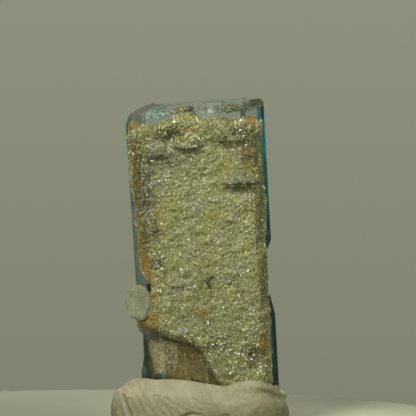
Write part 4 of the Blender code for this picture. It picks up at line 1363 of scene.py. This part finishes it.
@dataclass(frozen=True)
class Cloud:
    """A cloud of scales inside the crystal: middle and reach round and up it, depths, count and radius."""

    middle: Place
    reach: Place
    depth: Place
    count: int
    radius: float
    stretch: float = 1.0
    rise: float = 0.0
    tumble: float = 1.0

    def scales(self, draws: np.random.Generator) -> Grid:
        """Flat five-sided scales, two points thick in the middle, scattered in the cloud.

        Args:
            draws: Random numbers.

        Returns:
            Seven points for each scale, in the row frame, in millimetres.
        """
        way = draws.uniform(0, math.tau, self.count)
        out = np.sqrt(draws.random(self.count)) * (
            0.9 + 0.35 * noise_at(np.cos(way) * 1.6, np.sin(way) * 1.6, 8.0))
        out = out + draws.normal(0, 0.12, self.count)
        girth = self.middle[0] + self.reach[0] * out * np.cos(way)
        height = self.middle[1] + self.reach[1] * out * np.sin(way) + self.rise * (girth - self.middle[0])
        middle = PRISM.point(girth, height, -draws.uniform(*self.depth, self.count), Facing.FRONT)
        ring = math.tau * np.arange(5) / 5
        flat = np.vstack([np.column_stack([np.cos(ring) * self.stretch, np.zeros(5), np.sin(ring)]),
                          [[0, 0.2, 0], [0, -0.2, 0]]])
        size = self.radius * draws.uniform(0.5, 1.2, self.count)
        points = np.empty((self.count, 7, 3))
        for number in range(self.count):
            turn = Euler((self.tumble * draws.normal(0, (0.5, 0.35, 0.5))).tolist()).to_matrix()
            points[number] = middle[number] + size[number] * flat @ np.array(turn).T
        return points


@dataclass
class ScalesInside:
    """Scales inside the clear crystal, one piece for each colour: mostly muscovite grown in it, some painted
    shadow and glint.
    """

    name: str
    finish: MicaFinish
    seed: int
    clouds: tuple[Cloud, ...]

    def build(self) -> None:
        """Make the scales and ride them on the part."""
        draws = np.random.default_rng(self.seed)
        points = np.concatenate([cloud.scales(draws) for cloud in self.clouds])
        ring = np.arange(5)
        after = np.roll(ring, -1)
        sides = np.vstack([np.column_stack([ring, after, ring * 0 + 6]),
                           np.column_stack([after, ring, ring * 0 + 5])])
        faces = (sides + 7 * np.arange(len(points))[:, None, None]).reshape(-1, 3).tolist()
        tone = np.repeat(draws.random(len(points)), 7)
        add_piece(closed_mesh(self.name, points, faces, tone=tone), (self.finish,), DRUSE)


SCALES = (
    ScalesInside("brown_scales_inside", MicaFinish(
        "iron_stained_scales", gold="94803a", silver="8e7e3c", roughness=0.75,
        shades=((0.0, "7e7028"), (0.5, "88762e"), (0.96, "908036"))), 5, (
        Cloud((-1.9, 4.0), (2.4, 1.9), (0.5, 1.4), 2600, 0.16, tumble=0.2),
        Cloud((-1.4, 2.5), (1.8, 0.9), (0.4, 1.3), 800, 0.15, tumble=0.2),
        Cloud((-3.1, 4.6), (1.1, 1.6), (0.5, 1.2), 800, 0.14, tumble=0.2))),
    # Dark scales along the front coat's lower edge: a painted shadow under that edge, seen through the
    # crystal.
    ScalesInside("shadow_scales_inside", MicaFinish(
        "painted_shadow_scales", gold="54491c", silver="4a4a2c", roughness=0.7,
        shades=((0.0, "2e2a12"), (0.5, "4c4420"), (0.96, "6a6034"))), 9, (
        Cloud((-0.1, 3.3), (0.08, 1.3), (0.1, 0.3), 90, 0.05),
        Cloud((-2.6, 6.0), (2.2, 0.45), (0.2, 0.8), 420, 0.1, 1.5, -0.35))),
    ScalesInside("pale_scales_inside", MicaFinish(
        "pale_muscovite_scales", gold="aea268", silver="aca478", roughness=0.7,
        shades=((0.0, "988e56"), (0.5, "aca26a"), (0.8, "bab27e"), (0.96, "ccc49c"))), 6, (
        Cloud((-5.1, 5.0), (1.2, 0.8), (0.1, 0.35), 520, 0.1, tumble=0.3),
        Cloud((-4.7, 4.0), (1.0, 0.9), (0.1, 0.4), 400, 0.1, tumble=0.3),
        Cloud((-3.5, 4.6), (1.0, 1.3), (0.2, 0.5), 220, 0.11, tumble=0.3),
        Cloud((-3.2, 5.5), (0.9, 0.4), (0.3, 0.8), 110, 0.1, tumble=0.3),
        Cloud((-1.3, 25.15), (0.8, 0.16), (0.1, 0.7), 90, 0.07, 2.0, 0.25),
        Cloud((3.4, 25.2), (0.8, 0.14), (0.4, 1.4), 60, 0.06, 2.0))),
    ScalesInside("veils_and_glint_inside", MicaFinish(
        "fluid_veil_and_glint_scales", gold="cce0d4", silver="cce0d4", roughness=0.6,
        shades=((0.0, "a8c4b8"), (0.6, "cce0d4"), (0.96, "f4faf6"))), 7, (
        Cloud((-4.0, 24.95), (1.2, 0.16), (0.4, 2.6), 170, 0.06, 2.0, 0.42),
        Cloud((-3.1, 25.1), (1.1, 0.1), (0.3, 1.6), 70, 0.05, 3.0, 0.1),
        Cloud((-2.6, 24.85), (0.9, 0.08), (0.3, 1.6), 50, 0.05, 3.0, 0.15),
        # Pale scales just inside the left narrow face above the foot: a painted glint of the crystal there,
        # not a veil.
        Cloud((-6.3, 6.95), (0.6, 0.12), (0.05, 0.25), 60, 0.08, 1.5, -0.45))),
    ScalesInside("olive_scales_inside", MicaFinish(
        "deep_muscovite_scales", roughness=0.7,
        shades=((0.0, "6d7048"), (0.6, "8d905c"), (0.96, "a4a678"))), 8, (
        Cloud((0.0, 25.2), (2.0, 0.22), (0.5, 2.4), 150, 0.06, 2.4),
        Cloud((3.2, 25.15), (1.5, 0.25), (0.5, 2.4), 170, 0.06, 2.4),
        Cloud((1.4, 25.0), (3.4, 0.4), (0.6, 4.2), 420, 0.06, 1.6),
        Cloud((4.9, 25.1), (0.7, 0.3), (0.8, 2.0), 70, 0.07))),
)


@dataclass
class MicaPlate:
    """The rounded mica plate at the left edge: thin sheets, each set back a little, with frayed edges."""

    middle: Point = (-5.72, -2.02, 9.1)
    half_width: float = 1.5
    half_height: float = 1.6
    sheets: tuple[float, ...] = (0.09, 0.07, 0.06)
    turn: float = math.radians(-38)
    tip: float = math.radians(-3)
    points: int = 120
    sharp: float = math.radians(35)
    finish: SheetFinish = SheetFinish()

    def outline(self, number: int) -> tuple[Grid, Grid]:
        """Outline of one sheet, counted from the back: places across and up, in millimetres.

        Args:
            number: Number of the sheet.

        Returns:
            The two coordinates of each point.
        """
        angle = math.tau * np.arange(self.points) / self.points
        cos, sin = np.cos(angle), np.sin(angle)
        six_sided = 0.985 + 0.015 * np.cos(6 * angle + 0.6)
        uneven = 1 + 0.03 * noise_at(cos * 1.5, sin * 1.5, 4.2)
        frayed = 1 + 0.012 * noise_at(cos * 6, sin * 6, number)
        taper = 1 - 0.1 * smooth(0.5 - 0.9 * sin) * smooth(0.5 - cos)
        back = 0.035 * number * (1.6 + noise_at(cos * 1.2, sin * 1.2, 3.0 + number))
        radius = six_sided * uneven * frayed * taper - back
        return self.half_width * radius * cos, self.half_height * radius * sin

    def build(self) -> None:
        """Make the plate and ride it on the part."""
        rings = []
        depth = 0.0
        for number, thickness in enumerate(self.sheets):
            across, up = self.outline(number)
            for level in (depth, depth - thickness):
                rings.append(np.column_stack([across, np.full(self.points, level), up]))
            depth -= thickness
        last = rings[-1]
        for share in (0.8, 0.55, 0.3, 0.1):
            inner = last * (share, 1, share)
            inner[:, 1] -= 0.03 * (1 - share) + 0.02 * noise_at(inner[:, 0] * 1.3, inner[:, 2] * 1.3, 2.0)
            rings.append(inner)
        tilted = Euler((self.tip, 0, self.turn)).to_matrix().to_4x4()
        matrix = PRISM.matrix @ Matrix.Translation(self.middle) @ tilted
        local = np.concatenate([np.stack(rings), np.ones((len(rings), self.points, 1))], -1)
        mesh = loft_mesh("muscovite_plate_sheets", (local @ np.array(matrix).T)[..., :3])
        mesh.set_sharp_from_angle(angle=self.sharp)
        add_piece(mesh, (self.finish,), "muscovite_sheet", "muscovite_plate")


@dataclass
class BareCrystals:
    """The pieces whose solids already have their true shape: each takes the finish of its mineral."""

    finishes: dict[str, Finish] = field(default_factory=lambda: {
        "aquamarine": BerylFinish(), "schorl_grain": SchorlFinish(),
        "schorl_sprig": SchorlFinish(name="schorl_needle_faces")})

    def build(self) -> None:
        """Put each finish on its CAD node."""
        for node, finish in self.finishes.items():
            material = finish.build()
            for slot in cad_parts[node].material_slots:
                slot.material = material
            LOG.info("%s: %s", node, material.name)


@dataclass(frozen=True)
class StandPaint(Finish):
    """Pale matt paint of the round stand, with painted shade on its left and towards its rim."""

    name: str = "stand_matt_paint"
    radius: float = 40.0
    middle: Place = (-9.0, -14.9)
    right: str = "7b7d61"
    left: str = "5a5c46"
    edge: str = "5e604c"

    def look(self, add: Adder) -> dict[str, object]:
        """Mix the three shades by the place on the stand.

        Args:
            add: Adds a node to the material.

        Returns:
            Values and sockets for the shader's inputs.
        """
        place = add("TexCoord").node.outputs["Object"]
        out = add("VectorMath", (place, Vector((*self.middle, 0)) * MM), operation="DISTANCE")
        # Painted shade towards the rim, for the shading of a rounded edge.
        rim = add("MapRange", (out, (self.radius - 9) * MM, self.radius * MM),
                  interpolation_type="SMOOTHSTEP")
        across = add("SeparateXYZ", (place,))
        # Painted light and shade: lighter to the right, darker to the left, as the lamps light the stand.
        painted_light_across = add("MapRange", (across, -12 * MM, 16 * MM))
        colour = linear(self.left)
        for share, tint in ((painted_light_across, self.right), (rim, self.edge)):
            colour = add("Mix", {0: share, 6: colour, 7: linear(tint)}, data_type="RGBA")
        return {"Base Color": colour, "Roughness": 0.9}


@dataclass
class Studio:
    """Pale stand, plain backdrop colour, soft lights, and the camera of the photograph."""

    mm_per_pixel: float = 0.085
    distance: float = 300.0
    elevation: float = math.radians(4)
    middle: Point = (0.72, 0.0, 18.6)
    paint: StandPaint = StandPaint()
    stand_height: float = 8.0
    sky_high: str = "8e917e"
    sky_low: str = "7e816d"
    sky_right: str = "5c5e50"
    lights: tuple[tuple[str, Point, float, float], ...] = (
        ("main", (-100, -160, 260), 65, 1.3), ("front", (-120, -280, 70), 60, 0.5),
        ("side", (250, -130, 200), 70, 0.5), ("behind", (60, 240, 200), 90, 0.8))

    def build(self) -> None:
        """Make the stand, the world, the lights and the camera."""
        self.make_stand()
        self.make_world()
        self.make_lights()
        self.make_camera()

    def make_stand(self) -> None:
        """A round pale stand whose back edge shows behind the specimen."""
        bm = bmesh.new()
        radius = self.paint.radius * MM
        bmesh.ops.create_cone(bm, cap_ends=True, segments=128, radius1=radius, radius2=radius,
                              depth=self.stand_height * MM)
        bmesh.ops.translate(bm, vec=Vector((*self.paint.middle, -self.stand_height / 2)) * MM, verts=bm.verts)
        mesh = mesh_from(bm, bpy.data.meshes.new("stand"))
        mesh.materials.append(self.paint.build())
        add_object("stand", mesh)

    def make_world(self) -> None:
        """A plain olive-grey surround, a little lighter above than below and darker on the right."""
        world = bpy.data.worlds.new("studio")
        bpy.context.scene.world = world
        world.use_nodes = True
        tree = world.node_tree
        add = partial(add_node, tree)
        parts = add("SeparateXYZ", (add("TexCoord"),)).node.outputs
        high = add("MapRange", (parts["Z"], -0.14, 0.0))
        side = add("MapRange", (parts["X"], 0.45, 0.8), interpolation_type="SMOOTHSTEP")
        colour = linear(self.sky_low)
        for share, tint in ((high, self.sky_high), (side, self.sky_right)):
            colour = add("Mix", {0: share, 6: colour, 7: linear(tint)}, data_type="RGBA")
        feed(tree, tree.nodes["Background"].inputs["Color"], colour)

    def make_lights(self) -> None:
        """A main light from the upper left, and weaker ones that keep the glitter alive elsewhere."""
        aim = Vector(self.middle) * MM
        for name, place, size, power in self.lights:
            data = bpy.data.lights.new(name, "AREA")
            data.shape = "DISK"
            data.size = size * MM
            data.energy = power
            light = add_object(name, data)
            light.location = Vector(place) * MM
            light.rotation_euler = (aim - light.location).to_track_quat("-Z", "Y").to_euler()

    def make_camera(self) -> None:
        """A long lens, level with the specimen and a little above it."""
        data = bpy.data.cameras.new("camera")
        data.sensor_width = 36.0
        data.lens = data.sensor_width * self.distance / (PICTURE_PIXELS * self.mm_per_pixel)
        data.clip_start = 0.01
        camera = add_object("camera", data)
        back = Vector((0, -math.cos(self.elevation), math.sin(self.elevation)))
        camera.location = (Vector(self.middle) + back * self.distance) * MM
        camera.rotation_euler = Euler((math.pi / 2 - self.elevation, 0, 0))
        bpy.context.scene.camera = camera
        bpy.context.scene.view_settings.view_transform = "Standard"


def main() -> None:
    """Build and dress the specimen, then the studio."""
    logging.basicConfig(level=logging.INFO, format="%(name)s %(message)s")
    Studio().build()
    # The bed shows in the gaps between flakes; its shade of 0.6 is painted shade for those gaps.
    bed = MicaFinish("muscovite_druse_bed", shade=0.6, roughness=0.55, per_flake=False)
    flakes = MicaFinish("muscovite_druse_flakes", shade=1.1)
    quarter = math.radians(90)
    MuscoviteCoat(FRONT_COAT, FRONT_TINTS, bed, flakes, (
        FlakeSize(75, 0.06, 0.02, quarter, 3, 1), FlakeSize(75, 0.055, 0.02, quarter, 3, 2),
        FlakeSize(20, 0.08, 0.022, math.radians(70), 6, 3))).build()
    MuscoviteCoat(BACK_COAT, BACK_TINTS, bed, flakes, (
        FlakeSize(42, 0.08, 0.022, math.radians(80), 4, 4),
        FlakeSize(20, 0.105, 0.024, math.radians(55), 6, 5))).build()
    BrightFlakes(GLINTS, MicaFinish("muscovite_bright_faces", roughness=0.2)).build()
    MicaPlate().build()
    Crumbs().build(PuttyRoll().build())
    for scales in SCALES:
        scales.build()
    BareCrystals().build()


if __name__ == "__main__":
    main()
